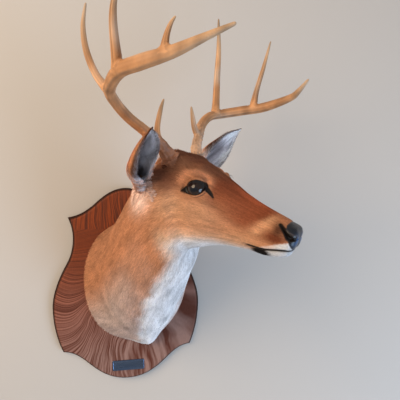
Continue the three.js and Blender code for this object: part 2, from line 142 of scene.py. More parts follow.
def tube_faces(rows, around):
    """Triangles of a closed skin over rows of rings, whose two end points come after the rings."""
    j = np.arange(around)
    k = (j + 1) % around
    faces = []
    for i in range(rows - 1):
        a, b = i * around + j, i * around + k
        faces.append(np.c_[a, a + around, b + around])
        faces.append(np.c_[a, b + around, b])
    first, last = rows * around, rows * around + 1
    faces.append(np.c_[np.full(around, first), j, k])
    faces.append(np.c_[np.full(around, last), (rows - 1) * around + k, (rows - 1) * around + j])
    return np.concatenate(faces)


def paint(obj, **values):
    """Stores a colour or a number for each vertex."""
    for name, value in values.items():
        value = np.asarray(value, np.float32)
        if value.ndim == 2:
            layer = obj.data.attributes.new(name, "FLOAT_COLOR", "POINT")
            layer.data.foreach_set("color", np.c_[value, np.ones(len(value), np.float32)].ravel())
        else:
            layer = obj.data.attributes.new(name, "FLOAT", "POINT")
            layer.data.foreach_set("value", value)


# ---------------------------------------------------------------- the head's frame
NOSE = np.array([289.0, -470.0, 191.0])
HEAD_TURN, HEAD_PITCH, HEAD_TILT = 49.6, -11.7, 3.2


def head_axes():
    a, b, c = HEAD_TURN * DEG, HEAD_PITCH * DEG, HEAD_TILT * DEG
    forward = np.array([np.sin(a) * np.cos(b), -np.cos(a) * np.cos(b), np.sin(b)])
    level = np.array([np.cos(a), np.sin(a), 0])
    above = np.cross(forward, level)
    left = level * np.cos(c) + above * np.sin(c)
    return np.c_[forward, left, above * np.cos(c) - level * np.sin(c)]


HEAD = head_axes()


def in_head(p):
    """From the head's frame, x forward, y left and z up from the nose's tip, to the mount's."""
    return NOSE + np.asarray(p, float) @ HEAD.T


def to_head(p):
    return (np.asarray(p, float) - NOSE) @ HEAD


# ---------------------------------------------------------------- head, neck and shoulder
# The sections of the head are at x in its frame: top, low, how much further forward the low point is, height
# of the widest place, half width, taper and squareness. Those of the neck give both points in the mount's
# frame, the share of the height where it is widest, half width, taper, squareness and how far it has turned.
# Places along the body are section numbers: 0 at the nose, 12 at the poll and 17 at the board.
HEAD_SECTIONS = [
    (-2, 8, -4, 0, 2, 8, 0, 2),
    (-5, 15, -11, 0, 2, 16, 0, 2.2),
    (-10, 21, -19, 0, 2, 23, 0, 2.3),
    (-18, 25, -32, 0, 2, 28, -0.05, 2.3),
    (-32, 30, -38, 0, 2, 30, -0.1, 2.3),
    (-55, 36, -42, 0, 3, 30, -0.12, 2.3),
    (-85, 44, -42, 0, 5, 32, -0.1, 2.3),
    (-115, 54, -45, 0, 8, 37, 0, 2.3),
    (-145, 66, -50, 0, 13, 46, 0.1, 2.3),
    (-175, 79, -56, 4, 18, 56, 0.16, 2.3),
    (-208, 91, -64, 14, 20, 62, 0.12, 2.2),
    (-240, 99, -72, 32, 18, 63, 0.06, 2.1),
    (-272, 99, -92, 55, 3, 66, 0, 2),
]
SHOULDER_BACK = -19.3
NECK_SECTIONS = [
    ((82, -270, 332), (111, -303, 107), 0.5, 77, 0, 2, 38),
    ((60, -205, 283), (82, -240, 28), 0.5, 91, 0.02, 2, 26),
    ((41, -140, 222), (56, -164, -58), 0.5, 102, 0.02, 2, 14),
    ((24, -70, 190), (50, -74, -118), 0.5, 116, 0.06, 2, 5),
    ((-2, SHOULDER_BACK, 168), (28, SHOULDER_BACK, -148), 0.5, 126, -0.05, 2.15, 0),
]
# Swells and hollows in the head's frame, on both sides: place, reach and push.
FORMS = [
    ((-182, 58, 82), (25, 20, 15), (3, 14, 4)),
    ((-205, 62, 30), (30, 20, 22), (0, 3, 0)),
    ((-150, 48, 42), (20, 14, 14), (0, -4, 0)),
    ((-248, 44, 90), (22, 18, 18), (0, 2, 7)),
    ((-30, 27, 8), (12, 10, 10), (0, 2.5, 0)),
    ((-110, 36, -5), (35, 14, 14), (0, -2, 0)),
    ((-300, 64, 44), (30, 28, 28), (-3, 16, 8)),
    ((-188, 62, 74), (20, 13, 11), (3, 20, 11)),
    ((-190, 0, -68), (48, 42, 22), (0, 0, -5)),
]
# The swell of the brisket, in the mount's frame.
BRISKET = ((48, -30, -140), (30, 45, 40), (6, 0, -22))
# How deep the coat lies over the skin, at each section.
COAT_DEPTH = [0.3, 0.3, 0.4, 0.6, 0.9, 1.0, 1.1, 1.2, 1.4, 1.6, 1.9, 2.6, 3.6, 4.6, 5.0, 5.2, 5.2, 5.0]


# The column of the section table that holds the half width.
WIDE = 7


def section_table():
    """Rows of top and low point, share of the height, half width, taper, squareness, turn and lean."""
    rows = []
    for x, top, low, low_x, mid, wide, taper, square in HEAD_SECTIONS:
        ends = [*in_head([x, 0, top]), *in_head([x + low_x, 0, low])]
        share = (mid - low) / (top - low)
        rows.append([*ends, share, wide, taper, square, HEAD_TURN, HEAD_TILT])
    for i, (top, low, mid, wide, taper, square, turn) in enumerate(NECK_SECTIONS):
        lean = HEAD_TILT * (1 - (i + 1) / len(NECK_SECTIONS))
        rows.append([*top, *low, mid, wide, taper, square, turn, lean])
    return rows


sections = smooth_through(section_table())
coat_depth = smooth_through(COAT_DEPTH)


def formed(p):
    """Points with the swells and hollows of the head and the brisket pushed into them."""
    head = to_head(p)
    moved = head.copy()
    for at, reach, push in FORMS:
        for side in (1, -1):
            flip = np.array([1, side, 1])
            moved += lump(head * flip, at, reach)[..., None] * (np.array(push) * flip)
    at, reach, push = BRISKET
    return in_head(moved) + lump(p, at, reach)[..., None] * np.array(push)


def body_surface(t, angle, grow):
    """A grid of points at section numbers t and angles round them, grown outwards at each section."""
    row = sections(t)
    top, low = row[:, 0:3], row[:, 3:6]
    mid, wide, taper, square, turn, lean = (row[:, i, None] for i in range(6, 12))
    centre = low + (top - low) * mid
    up = unit(top - low)
    left = np.c_[np.cos(turn * DEG), np.sin(turn * DEG), np.sin(lean * DEG)]
    left = unit(left - up * (left * up).sum(1, keepdims=True))
    c, s = np.cos(angle), np.sin(angle)
    grow = np.asarray(grow)[:, None]
    across = (wide + grow) * np.sign(c) * np.abs(c) ** (2 / square) * (1 + taper * s)
    above = np.linalg.norm(top - centre, axis=1, keepdims=True) + grow
    below = np.linalg.norm(low - centre, axis=1, keepdims=True) + grow
    height = np.where(s > 0, above, below) * np.sign(s) * np.abs(s) ** (2 / square)
    p = centre[:, None] + left[:, None] * across[..., None] + up[:, None] * height[..., None]
    return formed(p)


def grid_normals(p):
    """Outward normals of a grid that closes round its columns."""
    across = np.roll(p, -1, axis=1) - np.roll(p, 1, axis=1)
    return unit(np.cross(np.gradient(p, axis=0), across))


STREAK_LONG, STREAK_WIDE, STREAK_WAVES = 40, 5, 24


def streaks(p, seed):
    """Noise from about -1 to 1 in streaks that run along a grid's rows."""
    columns = p.shape[1]
    along = np.linalg.norm(np.diff(p, axis=0), axis=-1).mean(1)
    along = np.concatenate([[0], np.cumsum(along)])[:, None]
    round_it = np.linalg.norm(np.roll(p, -1, axis=1) - p, axis=-1).sum(1).mean() / (2 * np.pi)
    angle = 2 * np.pi * np.arange(columns)[None] / columns
    shortened = along / (STREAK_LONG / STREAK_WIDE)
    place = np.stack(np.broadcast_arrays(shortened, round_it * np.cos(angle), round_it * np.sin(angle)), -1)
    broad = ripple(place, STREAK_WIDE, seed, STREAK_WAVES)
    return 0.75 * broad + 0.5 * ripple(place, STREAK_WIDE / 2, seed + 1, STREAK_WAVES)


ROWS_PER_SECTION = [4, 5, 8, 14, 19, 22, 22, 24, 30, 32, 20, 16, 12, 13, 14, 14, 12]
AROUND = 304
# Where the columns are closer, at the eyes and the lips: height as the angle's sine, reach and how much.
CROWDED = [(0.5, 0.35, 1.3), (-0.75, 0.2, 0.5)]


def section_numbers():
    parts = [i + np.arange(n) / n for i, n in enumerate(ROWS_PER_SECTION)]
    return np.append(np.concatenate(parts), len(ROWS_PER_SECTION))


def column_angles():
    """Angles of the columns, from the throat round, closer where CROWDED says."""
    fine = np.linspace(-0.5 * np.pi, 1.5 * np.pi, 4001)
    crowd = np.ones(len(fine))
    for height, reach, more in CROWDED:
        crowd = crowd + more * bell((np.sin(fine) - height) / reach)
    share = np.concatenate([[0], np.cumsum(crowd[1:] + crowd[:-1])])
    return np.interp(np.arange(AROUND) / AROUND, share / share[-1], fine)


T = section_numbers()
ANGLE = column_angles()
plain = body_surface(T, ANGLE, -coat_depth(T))
plain_normal = grid_normals(plain)


# ---------------------------------------------------------------- the face's folds and openings
# All places are in the head's frame, on the buck's left; the right side mirrors them.
EYE_AT = np.array([-188.0, 49.0, 53.0])
EYE_RADIUS = 17.5
OPENING_AT = np.array([-184.0, 61.0, 52.0])
OPENING_ALONG = unit(np.array([40.0, -15.0, 17.0]))
EYE_OUT = unit(OPENING_AT - EYE_AT)
EYE_UP = unit(np.cross(OPENING_ALONG, EYE_OUT))
OPENING = {"half": 18.0, "upper": 10.4, "lower": 8.6, "skew": 0.22, "power": 1.85}
# Nothing of the eye is drawn further from its centre than EYE_REACH, or nearer the middle than EYE_INNER.
EYE_REACH, EYE_INNER, OUT_OF_REACH = 48, 15, 60.0
# How far the skin lies from the eye's centre: behind the glass, and how much further at the lid and past it.
LID = {"behind": 12.5, "edge": 6.2, "swell": 0.6}
TEAR_PIT = [(-169, 47, 55, 1.4), (-166, 46, 52, 1), (-160, 43.5, 46, 0), (-154.5, 42.6, 39.8, -2)]
NOSTRIL = [
    (-36, 21.5, 23, 0.7), (-29, 24.5, 18.5, 1.2), (-23, 27, 13.6, 1.8),
    (-17, 27.6, 7.5, 3.0), (-12, 25, 4.5, 3.2), (-7.5, 19, 5.5, 1.6),
]
NOSTRIL_RIM = [(-26, 23.5, 19), (-18, 25.5, 14.5), (-11.6, 22.6, 11.4), (-7, 16.5, 11)]
NOSTRIL_WING = ((-15, 17, 18), (8, 8, 6))
# The line between the lips: x and z.
MOUTH = [
    (-125, -28), (-91, -26.6), (-64, -26.6), (-52, -25.4), (-41, -22.4),
    (-30, -19.2), (-18, -17.2), (-10, -17.8), (5, -19),
]
# The mouth's corner fades in from the first x to the second.
MOUTH_CORNER = (-96, -84)
CUT = {
    "upper_crease": 1.3, "lower_crease": 0.8, "tear_pit": 2.4, "nostril": 7,
    "lips": 2.6, "lower_lip": 1.0, "philtrum": 1.3, "pad_edge": 0.5,
}
RAISED = {"nostril_rim": 1.0, "nostril_wing": 1.6}


def mouth_height(x):
    xs, zs = np.array(MOUTH).T
    return np.interp(x, xs, zs)


def opening_edge(a, b, high):
    """How far off the rim of the eye's opening is, in the direction of a unit vector a, b."""
    power = OPENING["power"]
    return (np.abs(a / OPENING["half"]) ** power + np.abs(b / high) ** power) ** (-1 / power)


def eye_chart(q):
    """Distances forward and up from the middle of the eye's opening, and the distance outside its rim."""
    a = (q - OPENING_AT) @ OPENING_ALONG
    b = (q - OPENING_AT) @ EYE_UP
    skewed = a - OPENING["skew"] * np.maximum(b, 0)
    r = np.hypot(skewed, b) + 1e-6
    edge = opening_edge(skewed / r, b / r, np.where(b > 0, OPENING["upper"], OPENING["lower"]))
    far = (np.linalg.norm(q - EYE_AT, axis=-1) > EYE_REACH) | (q[..., 1] < EYE_INNER)
    return a, b, np.where(far, OUT_OF_REACH, r - edge)


def line_distance(q, points):
    """Distance to a line of points, less the width that a fourth number gives there."""
    points = np.asarray(points, float)
    best = np.full(q.shape[:-1], 1e3)
    for p0, p1 in zip(points, points[1:]):
        step = p1[:3] - p0[:3]
        u = np.clip((q - p0[:3]) @ step / (step @ step), 0, 1)
        d = np.linalg.norm(q - p0[:3] - u[..., None] * step, axis=-1)
        if len(p0) > 3:
            d = d - (p0[3] + (p1[3] - p0[3]) * u)
        best = np.minimum(best, d)
    return best


def pad_distance(q):
    """How far a point lies in front of the edge of the nose's bare pad."""
    return q[..., 0] + 27 - np.where(q[..., 2] < 23, 0.45, -0.3) * (23 - q[..., 2])


def sculpt(uncut, n):
    """Cuts eyelids, tear pits, nostrils and lips into points with normals n, on the buck's left."""
    x, y, z = uncut[..., 0], uncut[..., 1], uncut[..., 2]
    _, b, rim = eye_chart(uncut)
    from_eye = uncut - EYE_AT
    away = np.linalg.norm(from_eye, axis=-1)
    lid = LID["behind"] + LID["edge"] * ramp(rim, -1.6, 0.2) + LID["swell"] * ramp(rim, 0.2, 2)
    weight = 1 - ramp(rim, 3, 10)
    q = uncut + unit(from_eye) * ((lid - away) * weight)[..., None]
    upper_crease = CUT["upper_crease"] * bell((rim - 8) / 1.6) * ramp(b, 1, 8)
    crease = upper_crease + CUT["lower_crease"] * bell((rim - 7) / 1.6) * ramp(-b, 1, 6)
    pit = CUT["tear_pit"] * bell(line_distance(q, TEAR_PIT) / 2.2)
    nostril = CUT["nostril"] * (1 - ramp(line_distance(q, NOSTRIL), -1.4, 1.0))
    rim_fold = RAISED["nostril_rim"] * bell(line_distance(q, NOSTRIL_RIM) / 1.6)
    wing = RAISED["nostril_wing"] * lump(uncut, *NOSTRIL_WING)
    in_mouth = ramp(x, *MOUTH_CORNER)
    above = z - mouth_height(x)
    lips = CUT["lips"] * bell(above / 1.3) * in_mouth
    lower_lip = CUT["lower_lip"] * ramp(-above, 0, 2) * (1 - ramp(-above, 5, 14)) * in_mouth
    groove = CUT["philtrum"] * bell(y / 1.3) * ramp(x, -14, -8)
    philtrum = groove * ramp(z, -18, -14) * (1 - ramp(z, 4, 12))
    pad_edge = CUT["pad_edge"] * bell((pad_distance(q) - 0.6) / 1.2) * ramp(z, -16, -10)
    out = rim_fold + wing - crease - pit - nostril - lips - lower_lip - philtrum - pad_edge
    return q + n * out[..., None]


def flat_side(p):
    """Points in the head's frame turned onto the buck's left side, and which side they came from."""
    side = np.where(p[..., 1] < 0, -1.0, 1.0)
    flip = np.stack([np.ones_like(side), side, np.ones_like(side)], -1)
    return p * flip, flip


# Creases of the tanned skin low on the neck, and the sewn seam at its point, in the mount's frame.
SEAM = [(26, -194, -27), (33, -172, -52), (38, -99, -105), (43, -49, -148), (44, -22, -160)]
PUCKER = [(24, -195, -26), (32, -191, -32), (44, -180, -44)]
CREASES = [
    [(-70, -42, -77), (-56, -59, -76), (-38, -83, -67)],
    [(-80, -55, -30), (-60, -85, -34), (-38, -120, -28)],
    [(70, -215, 30), (95, -190, 10), (120, -150, 5)],
    [(60, -150, -40), (84, -120, -55), (110, -80, -62)],
]
# How deep and how wide each kind of fold is.
FOLD = {"seam": (2.5, 5), "pucker": (2.0, 6), "crease": (2.2, 5.5)}


def fold(p, kind, line):
    deep, wide = FOLD[kind]
    return deep * bell(line_distance(p, line) / wide)


def carve_body():
    """The skin's grid with the face cut into it and the unevenness of skin over a form."""
    head, flip = flat_side(to_head(plain))
    carved = sculpt(head, (plain_normal @ HEAD) * flip)
    p = in_head(carved * flip)
    neck = ramp(T, 11.5, 14)[:, None]
    lumps = 0.9 * neck * ripple(p, 55, 3) + 0.35 * neck * ripple(p, 18, 4)
    lumps += 0.35 * (1 - neck) * ripple(p, 24, 5) * ramp(T, 5, 8)[:, None]
    crown = ramp(head[..., 2], 62, 84) * ramp(-head[..., 0], 172, 205)
    lumps += 1.5 * crown * ripple(p, 11, 6)
    lumps -= fold(p, "seam", SEAM) + fold(p, "pucker", PUCKER)
    for crease in CREASES:
        lumps -= fold(p, "crease", crease)
    p = p + plain_normal * lumps[..., None]
    p[-1, :, 1] = SHOULDER_BACK
    return p


body = carve_body()
body_normal = grid_normals(body)

# ---------------------------------------------------------------- ears
# s runs from an ear's root to its tip and q from edge to edge; depth goes in from the outside of the roll.
# Below FOOT_FROM an ear bends into the head, by its own foot in the head's frame where it ends.
EAR = {"long": 159, "root": -0.3, "tip": 0.985, "set": 14}
EAR_LEAF = {"thick": 5, "thinning": 0.45, "lining": 0.6, "coat": 0.9}
EAR_RIBS = {"high": 0.7, "crowd": 9, "reach": 0.8}
EAR_HALF = {"foot": 55, "widest": 49.6, "widest_at": 0.26, "narrowing": 80, "point": 1.47}
EAR_ROLL = {"foot": 162 * DEG, "open": 78 * DEG, "open_at": 0.43, "tip": 30 * DEG}
# Each ear's "pale" multiplies the brightness of its lining: painted light, brighter on the left ear, whose
# lining is lit, than on the shaded right one.
EARS = {
    "right": {
        "side": -1,
        "root": (-304, 77.5, 57.8),
        "foot": (26, -38, -14),
        "rise": 40.5 * DEG,
        "out": 48.5 * DEG,
        "spin": 4.5 * DEG,
        "bend": 30,
        "pale": 1.0,
    },
    "left": {
        "side": 1,
        "root": (-285, 86, 57.5),
        "foot": (4, -8, -6),
        "rise": 36 * DEG,
        "out": 66.5 * DEG,
        "spin": -1 * DEG,
        "bend": 6.5,
        "pale": 1.55,
    },
}
EAR_ROWS, EAR_COLUMNS = 76, 36
FOOT_FROM = 0.12


def opened(s, at):
    """How far an ear has opened from its foot, which is 1 where s reaches at."""
    return np.sin(np.clip(s, 0, None) / at * np.pi / 2)


def ear_half(s):
    """Half the width of the leaf, measured round its roll."""
    foot, widest, at = EAR_HALF["foot"], EAR_HALF["widest"], EAR_HALF["widest_at"]
    near = foot + (widest - foot) * opened(s, at) + EAR_HALF["narrowing"] * np.minimum(s, 0)
    u = np.clip((s - at) / (1 - at), 0, 1)
    return np.where(s < at, near, widest * (1 - u * u) ** EAR_HALF["point"])


def ear_roll(s):
    """Half the angle that the leaf is rolled round."""
    foot, wide, at = EAR_ROLL["foot"], EAR_ROLL["open"], EAR_ROLL["open_at"]
    near = foot + (wide - foot) * opened(s, at)
    far = (s - at) / (1 - at)
    return np.where(s < at, near, wide + (EAR_ROLL["tip"] - wide) * far)


def ear_points(ear, s, q, depth):
    """Places of an ear at s, q and depth, in the mount's frame."""
    rise, out = ear["rise"], ear["out"]
    along = np.array([np.cos(rise) * np.cos(out), np.cos(rise) * np.sin(out), np.sin(rise)])
    opening = np.array([1.0, 0, 0])
    opening = unit(opening - along * (opening @ along))
    turn = Matrix.Rotation(ear["spin"], 3, Vector(along))
    opening = np.array(turn @ Vector(opening))
    across = np.cross(along, opening)
    s, q, depth = np.broadcast_arrays(np.asarray(s, float), q, depth)
    roll = ear_roll(s)
    radius = ear_half(s) / roll
    inner = radius - depth
    p = np.array(ear["root"], float) + along * (EAR["long"] * s)[..., None]
    p = p + across * (inner * np.sin(q * roll))[..., None]
    out_by = radius - inner * np.cos(q * roll) - EAR["set"] + ear["bend"] * s * np.abs(s)
    sunk = np.clip((FOOT_FROM - s) / (FOOT_FROM - EAR["root"]), 0, 1) ** 2
    p = p + opening * out_by[..., None] + np.array(ear["foot"], float) * sunk[..., None]
    return in_head(p * np.array([1, ear["side"], 1]))


def ear_grid(ear):
    """A ring of points round an ear's leaf at each row, with s, q and 1 on the inside at each point."""
    s = np.linspace(EAR["root"], EAR["tip"], EAR_ROWS)[:, None]
    thick = EAR_LEAF["thick"] * (1 - EAR_LEAF["thinning"] * np.clip(s, 0, None)) - EAR_LEAF["lining"]
    q = np.linspace(-1, 1, EAR_COLUMNS)
    outside = np.full_like(q, EAR_LEAF["coat"])[None] + 0 * s
    ribs = EAR_RIBS["high"] * np.cos(q * EAR_RIBS["crowd"]) * np.exp(-((q / EAR_RIBS["reach"]) ** 4))
    inside = thick + ribs * ramp(s, 0.05, 0.3) * (1 - ramp(s, 0.7, 0.95))
    rim = (EAR_LEAF["coat"] + thick) / 2
    s_ring = np.repeat(s, 2 * EAR_COLUMNS + 2, axis=1)
    q_ring = np.concatenate([q, [1.012], q[::-1], [-1.012]])[None] + 0 * s
    depth = np.concatenate([outside, rim, inside[:, ::-1], rim], axis=1)
    inner = np.concatenate([0 * q, [0.5], 0 * q + 1, [0.5]])[None] + 0 * s
    if ear["side"] < 0:
        q_ring, depth, inner = q_ring[:, ::-1], depth[:, ::-1], inner[:, ::-1]
    p = ear_points(ear, s_ring, q_ring, depth)
    return {"p": p, "s": s_ring, "q": q_ring, "inner": inner, "pale": ear["pale"]}


ears = {name: ear_grid(ear) for name, ear in EARS.items()}

# ---------------------------------------------------------------- markings
TAN = np.array([0.50, 0.225, 0.115])
BUFF = np.array([0.62, 0.33, 0.18])
CREAM = np.array([0.68, 0.46, 0.31])
WHITE = np.array([0.80, 0.80, 0.82])
CRESCENT_TAN = np.array([0.66, 0.30, 0.16])
RUSSET = np.array([0.23, 0.058, 0.024])
DARK = np.array([0.16, 0.058, 0.032])
BLACK = np.array([0.010, 0.007, 0.006])
ROSE = np.array([0.78, 0.60, 0.53])
GREY_ROSE = np.array([0.52, 0.41, 0.37])
# A painted reflection: the blue that the nose's wet pad mirrors from the window.
PAINTED_REFLECTION = np.array([0.015, 0.085, 0.23])
PAD = np.array([0.008, 0.010, 0.015])
# A painted highlight: the light grey line along the nostril's rim.
NOSTRIL_RIM_HIGHLIGHT = np.array([0.13, 0.11, 0.11])
EAR_LINING = np.array([0.70, 0.68, 0.71])
# The lining's dark hollow: partly the ear's own darker skin, partly painted shade in the hollow.
EAR_SHADE = np.array([0.13, 0.108, 0.112])

# Patches of colour on the head: place and reach in its frame, colour and strength.
PATCHES = [
    ((-185, 62, 5), (60, 40, 32), BUFF, 0.75),
    ((-80, 34, -18), (45, 20, 14), BUFF, 0.6),
    ((-37, 30, 0), (19, 14, 10), RUSSET * 0.7, 0.95),
    ((-34, 26, 14), (10, 10, 11), DARK * 0.45, 0.9),
    ((-90, 0, 48), (60, 12, 16), RUSSET * 2.6, 0.85),
    ((-208, 0, 96), (38, 38, 22), DARK, 0.9),
    ((-176, 0, 80), (34, 30, 18), DARK * 1.4, 0.8),
    ((-245, 0, 105), (34, 60, 28), DARK, 0.9),
    # The next two dark patches, between eye and ear, are partly the coat's own dark hair and partly painted
    # shadow that the ear casts.
    ((-262, 54, 66), (24, 18, 15), DARK, 0.8),
    ((-234, 58, 54), (28, 20, 22), DARK * 1.5, 0.8),
    ((-296, 64, 16), (26, 30, 24), ROSE * 1.2, 1.0),
    ((-316, 58, 4), (24, 34, 22), ROSE, 0.6),
    ((-228, 66, 18), (24, 18, 26), CREAM * 0.85, 0.35),
]
# The pale crescent over the eye.
CRESCENT = [(-214, 57, 61), (-206, 51, 74), (-192, 44, 78), (-176, 35, 74), (-168, 37, 66)]

# The white of the throat: half its width and the softness of its edge, each by section number.
THROAT_HALF = ([9, 11, 12, 13, 14, 15, 16, 17], [0, 16, 30, 44, 41, 32, 24, 24])
THROAT_SOFT = ([9, 12, 15, 17], [10, 14, 12, 8])
# It reaches further up the buck's left side, where distances from the belly count for less.
FAR_THROAT = 0.4
# The muzzle: how low its red-brown side reaches at each x, and the half width of its pale band at each z.
MUZZLE_LOW = ([-165, -125, -85, -70], [32, 13, 1, -3])
MUZZLE_BAND = ([-8, 6, 16, 30], [12, 16, 14, 7])
# A painted reflection: where the nose's wet pad mirrors the window, its colour is painted blue. Place and
# reach on the head.
PAINTED_REFLECTION_SPOT = ((-5, 13, 1), (7, 9, 9))


def muzzle_colour(head, colour):
    """A red-brown upper side between eye and nose, crossed by a paler band behind the nostril."""
    x, z = head[..., 0], head[..., 2]
    low = np.interp(x, *MUZZLE_LOW)
    russet = ramp(x, -186, -150) * (1 - ramp(x, -64, -38)) * ramp(z, low - 19, low + 7)
    colour = mix(colour, RUSSET, 0.95 * russet)
    middle = -59 + 0.75 * (z - 16)
    reach = np.interp(z, *MUZZLE_BAND)
    band = bell((x - middle) / reach) * ramp(z, -14, 0) * (1 - ramp(z, 26, 36))
    return mix(colour, BUFF * 1.1, 0.9 * band)


def markings(p, t, angle):
    """The colour of the skin and coat over the body, how bare it is and how wet it is."""
    head, _ = flat_side(to_head(p))
    x, z = head[..., 0], head[..., 2]
    in_neck = ramp(t, 12, 14)
    back = bell((np.sin(angle) - 1) / 0.5) * in_neck
    colour = mix(np.broadcast_to(TAN, head.shape), TAN * 0.62, 0.7 * back)
    colour = muzzle_colour(head, colour)
    for at, reach, patch, strength in PATCHES:
        colour = mix(colour, patch, strength * np.minimum(1.25 * lump(head, at, reach), 1))
    _, b, rim = eye_chart(head)
    colour = mix(colour, CRESCENT_TAN * 1.15, 0.95 * bell(line_distance(head, CRESCENT) / 8))
    colour = mix(colour, TAN * 0.85, 0.4 * bell((rim - 9) / 7) * (b < 0))
    wide = sections(t.ravel())[:, WIDE].reshape(t.shape)
    from_belly = (angle + 0.5 * np.pi + np.pi) % (2 * np.pi) - np.pi
    from_belly = wide * np.where(from_belly > 0, FAR_THROAT, 1) * np.abs(from_belly)
    from_belly = from_belly + (4 * ripple(p, 26, 21) + 2 * ripple(p, 9, 22)) * in_neck
    strip, soft = np.interp(t, *THROAT_HALF), np.interp(t, *THROAT_SOFT)
    under = 1 - ramp(from_belly, strip - soft, strip + soft)
    jaw = ramp(-z - 0.19 * np.maximum(-x - 150, 0), 26, 50) * ramp(-x, 45, 70)
    low_face = ramp(-z - 0.1 * np.maximum(-x - 150, 0), 8, 44) * ramp(-x, 60, 100)
    colour = mix(colour, CREAM * 1.1, 0.9 * low_face * (1 - ramp(t, 12, 13)))
    chest = ramp(t + 0.3 * ripple(p, 40, 23), 12.9, 15.2) * ramp(-np.sin(angle), -0.1, 0.6)
    colour = mix(colour, GREY_ROSE, 0.95 * chest)
    colour = mix(colour, WHITE, np.maximum(under * ramp(t, 8, 11), jaw * (1 - ramp(t, 11, 13))))
    colour = mix(colour, DARK, 0.6 * bell(line_distance(p, SEAM[1:]) / 3) * ramp(t, 13, 14))
    colour = colour * (1 + 0.13 * streaks(p, 31) + 0.06 * ripple(p, 34, 33))[..., None]
    uncut, _ = flat_side(to_head(plain))
    return face_paint(head, uncut, colour)


def face_paint(head, uncut, colour):
    """Adds eyelids, lips, nose and chin to a colour, with a painted reflection and a painted highlight on
    the nose's pad and white partly darkened as painted shade under the jaw, and says where the skin is bare
    and where it is wet.
    """
    x, z = head[..., 0], head[..., 2]
    a, b, rim = eye_chart(head)
    lip = z - mouth_height(x)
    front = ramp(x, *MOUTH_CORNER)
    white_top = -2.5 + (x + 16.6) * 0.45
    upper_lip = ramp(white_top - z, -1.5, 3) * ramp(lip, -1, 1)
    colour = mix(colour, ROSE, upper_lip * ramp(x, -66, -52))
    upper_lip = upper_lip * ramp(x, -50, -26)
    chin = ramp(-lip, 0, 2) * ramp(x, -66, -44)
    under_chin = ramp(-z, 29, 35) * ramp(x, -100, -60)
    # The white of lips, chin and the jaw's underside is mixed a little darker than the throat's white:
    # partly their own tone, partly painted shade under the head.
    colour = mix(colour, WHITE * 0.85, np.maximum(np.maximum(upper_lip, chin), under_chin))
    lip_spot = 1.7 * bell((x + 60) / 15) * bell((z + 33) / 8) * ramp(-lip, -1.5, 1.5)
    lip_line = np.minimum(1.4 * bell(lip / 2.3), 1) * front
    corner = 5.5 * bell(b / 5) * ramp(-a, 8, 19) + 3.5 * bell((b + 3) / 4) * ramp(a, 9, 18)
    margin = 1.7 + corner
    lid = 1 - ramp(rim, margin, margin + 1.8)
    tear = 1 - ramp(line_distance(head, TEAR_PIT), 2.4, 4.2)
    slit = 1 - ramp(line_distance(uncut, NOSTRIL), 1.5, 5.0)
    pad = ramp(pad_distance(head), -0.6, 0.8) * ramp(lip, 0.5, 2.5)
    colour = mix(colour, PAD, pad)
    # Painted highlight along the nostril's rim, on the dark pad.
    colour = mix(colour, NOSTRIL_RIM_HIGHLIGHT, 0.8 * pad * bell(line_distance(head, NOSTRIL_RIM) / 1.5))
    # Painted reflection of the window, in blue, on the front of the wet pad.
    colour = mix(colour, PAINTED_REFLECTION, 0.9 * pad * lump(head, *PAINTED_REFLECTION_SPOT))
    black = np.maximum.reduce([np.clip(1.5 * lip_spot - 0.3, 0, 1), lip_line, lid, tear, slit])
    colour = mix(colour, BLACK, black)
    bare = np.maximum.reduce([pad, lip_line, 1 - ramp(rim, 2.4, 3.8), slit, tear])
    wet = np.maximum.reduce([pad, 0.3 * lip_line, 0.8 * (1 - ramp(rim, 0.2, 1.4)), 0.3 * tear])
    return colour, bare, wet


def body_markings():
    t = np.repeat(T[:, None], AROUND, axis=1)
    angle = np.repeat(ANGLE[None], len(T), axis=0)
    return markings(body, t, angle)


def ear_markings(ear):
    """Red-brown backs with dark tips and rims, a pale lining with a dark hollow that is partly painted
    shade, pale fur at the foot, and the lining brightened as painted light on the lit left ear.
    """
    s, q, inner = ear["s"], ear["q"], ear["inner"]
    back = mix(np.broadcast_to(TAN * 1.4, s.shape + (3,)), DARK, 0.8 * ramp(s, 0.62, 0.95))
    back = mix(back, DARK * 0.4, 0.95 * ramp(np.abs(q), 0.6, 0.85) * ramp(s, 0.12, 0.3))
    back = mix(back, ROSE * 1.2, 0.95 * (1 - ramp(s + 0.05 * ripple(ear["p"], 16, 9), 0.02, 0.34)))
    pale = np.maximum(ramp(np.abs(q), 0.35, 0.9), ramp(s, 0.5, 0.82))
    # The hollow of the lining is darker: partly its own skin, partly painted shade.
    lining = mix(np.broadcast_to(EAR_SHADE, s.shape + (3,)), EAR_LINING, 0.08 + 0.92 * pale)
    # Painted light: the lining is brightened by the ear's own "pale", most on the lit left ear.
    lining = np.minimum(ear["pale"] * lining * (1 + 0.35 * streaks(ear["p"], 41))[..., None], 0.9)
    colour = mix(back * (1 + 0.12 * streaks(ear["p"], 43))[..., None], lining, ramp(inner, 0.6, 0.9))
    edge = ramp(np.abs(q), 0.87, 0.97) * ramp(s, 0.1, 0.3)
    return mix(colour, DARK * 0.5, np.maximum(0.8 * edge, ramp(s, 0.93, 0.98)))


body_colour, body_bare, body_wet = body_markings()
for each in ears.values():
    each["colour"], each["wet"] = ear_markings(each), np.zeros(each["s"].shape)


# ---------------------------------------------------------------- one skin
def closed(name, p):
    """An object from a grid of rings, closed at both ends."""
    rows, around = p.shape[:2]
    points = np.concatenate([p.reshape(-1, 3), [p[0].mean(0)], [p[-1].mean(0)]])
    return make_object(name, points, tube_faces(rows, around))


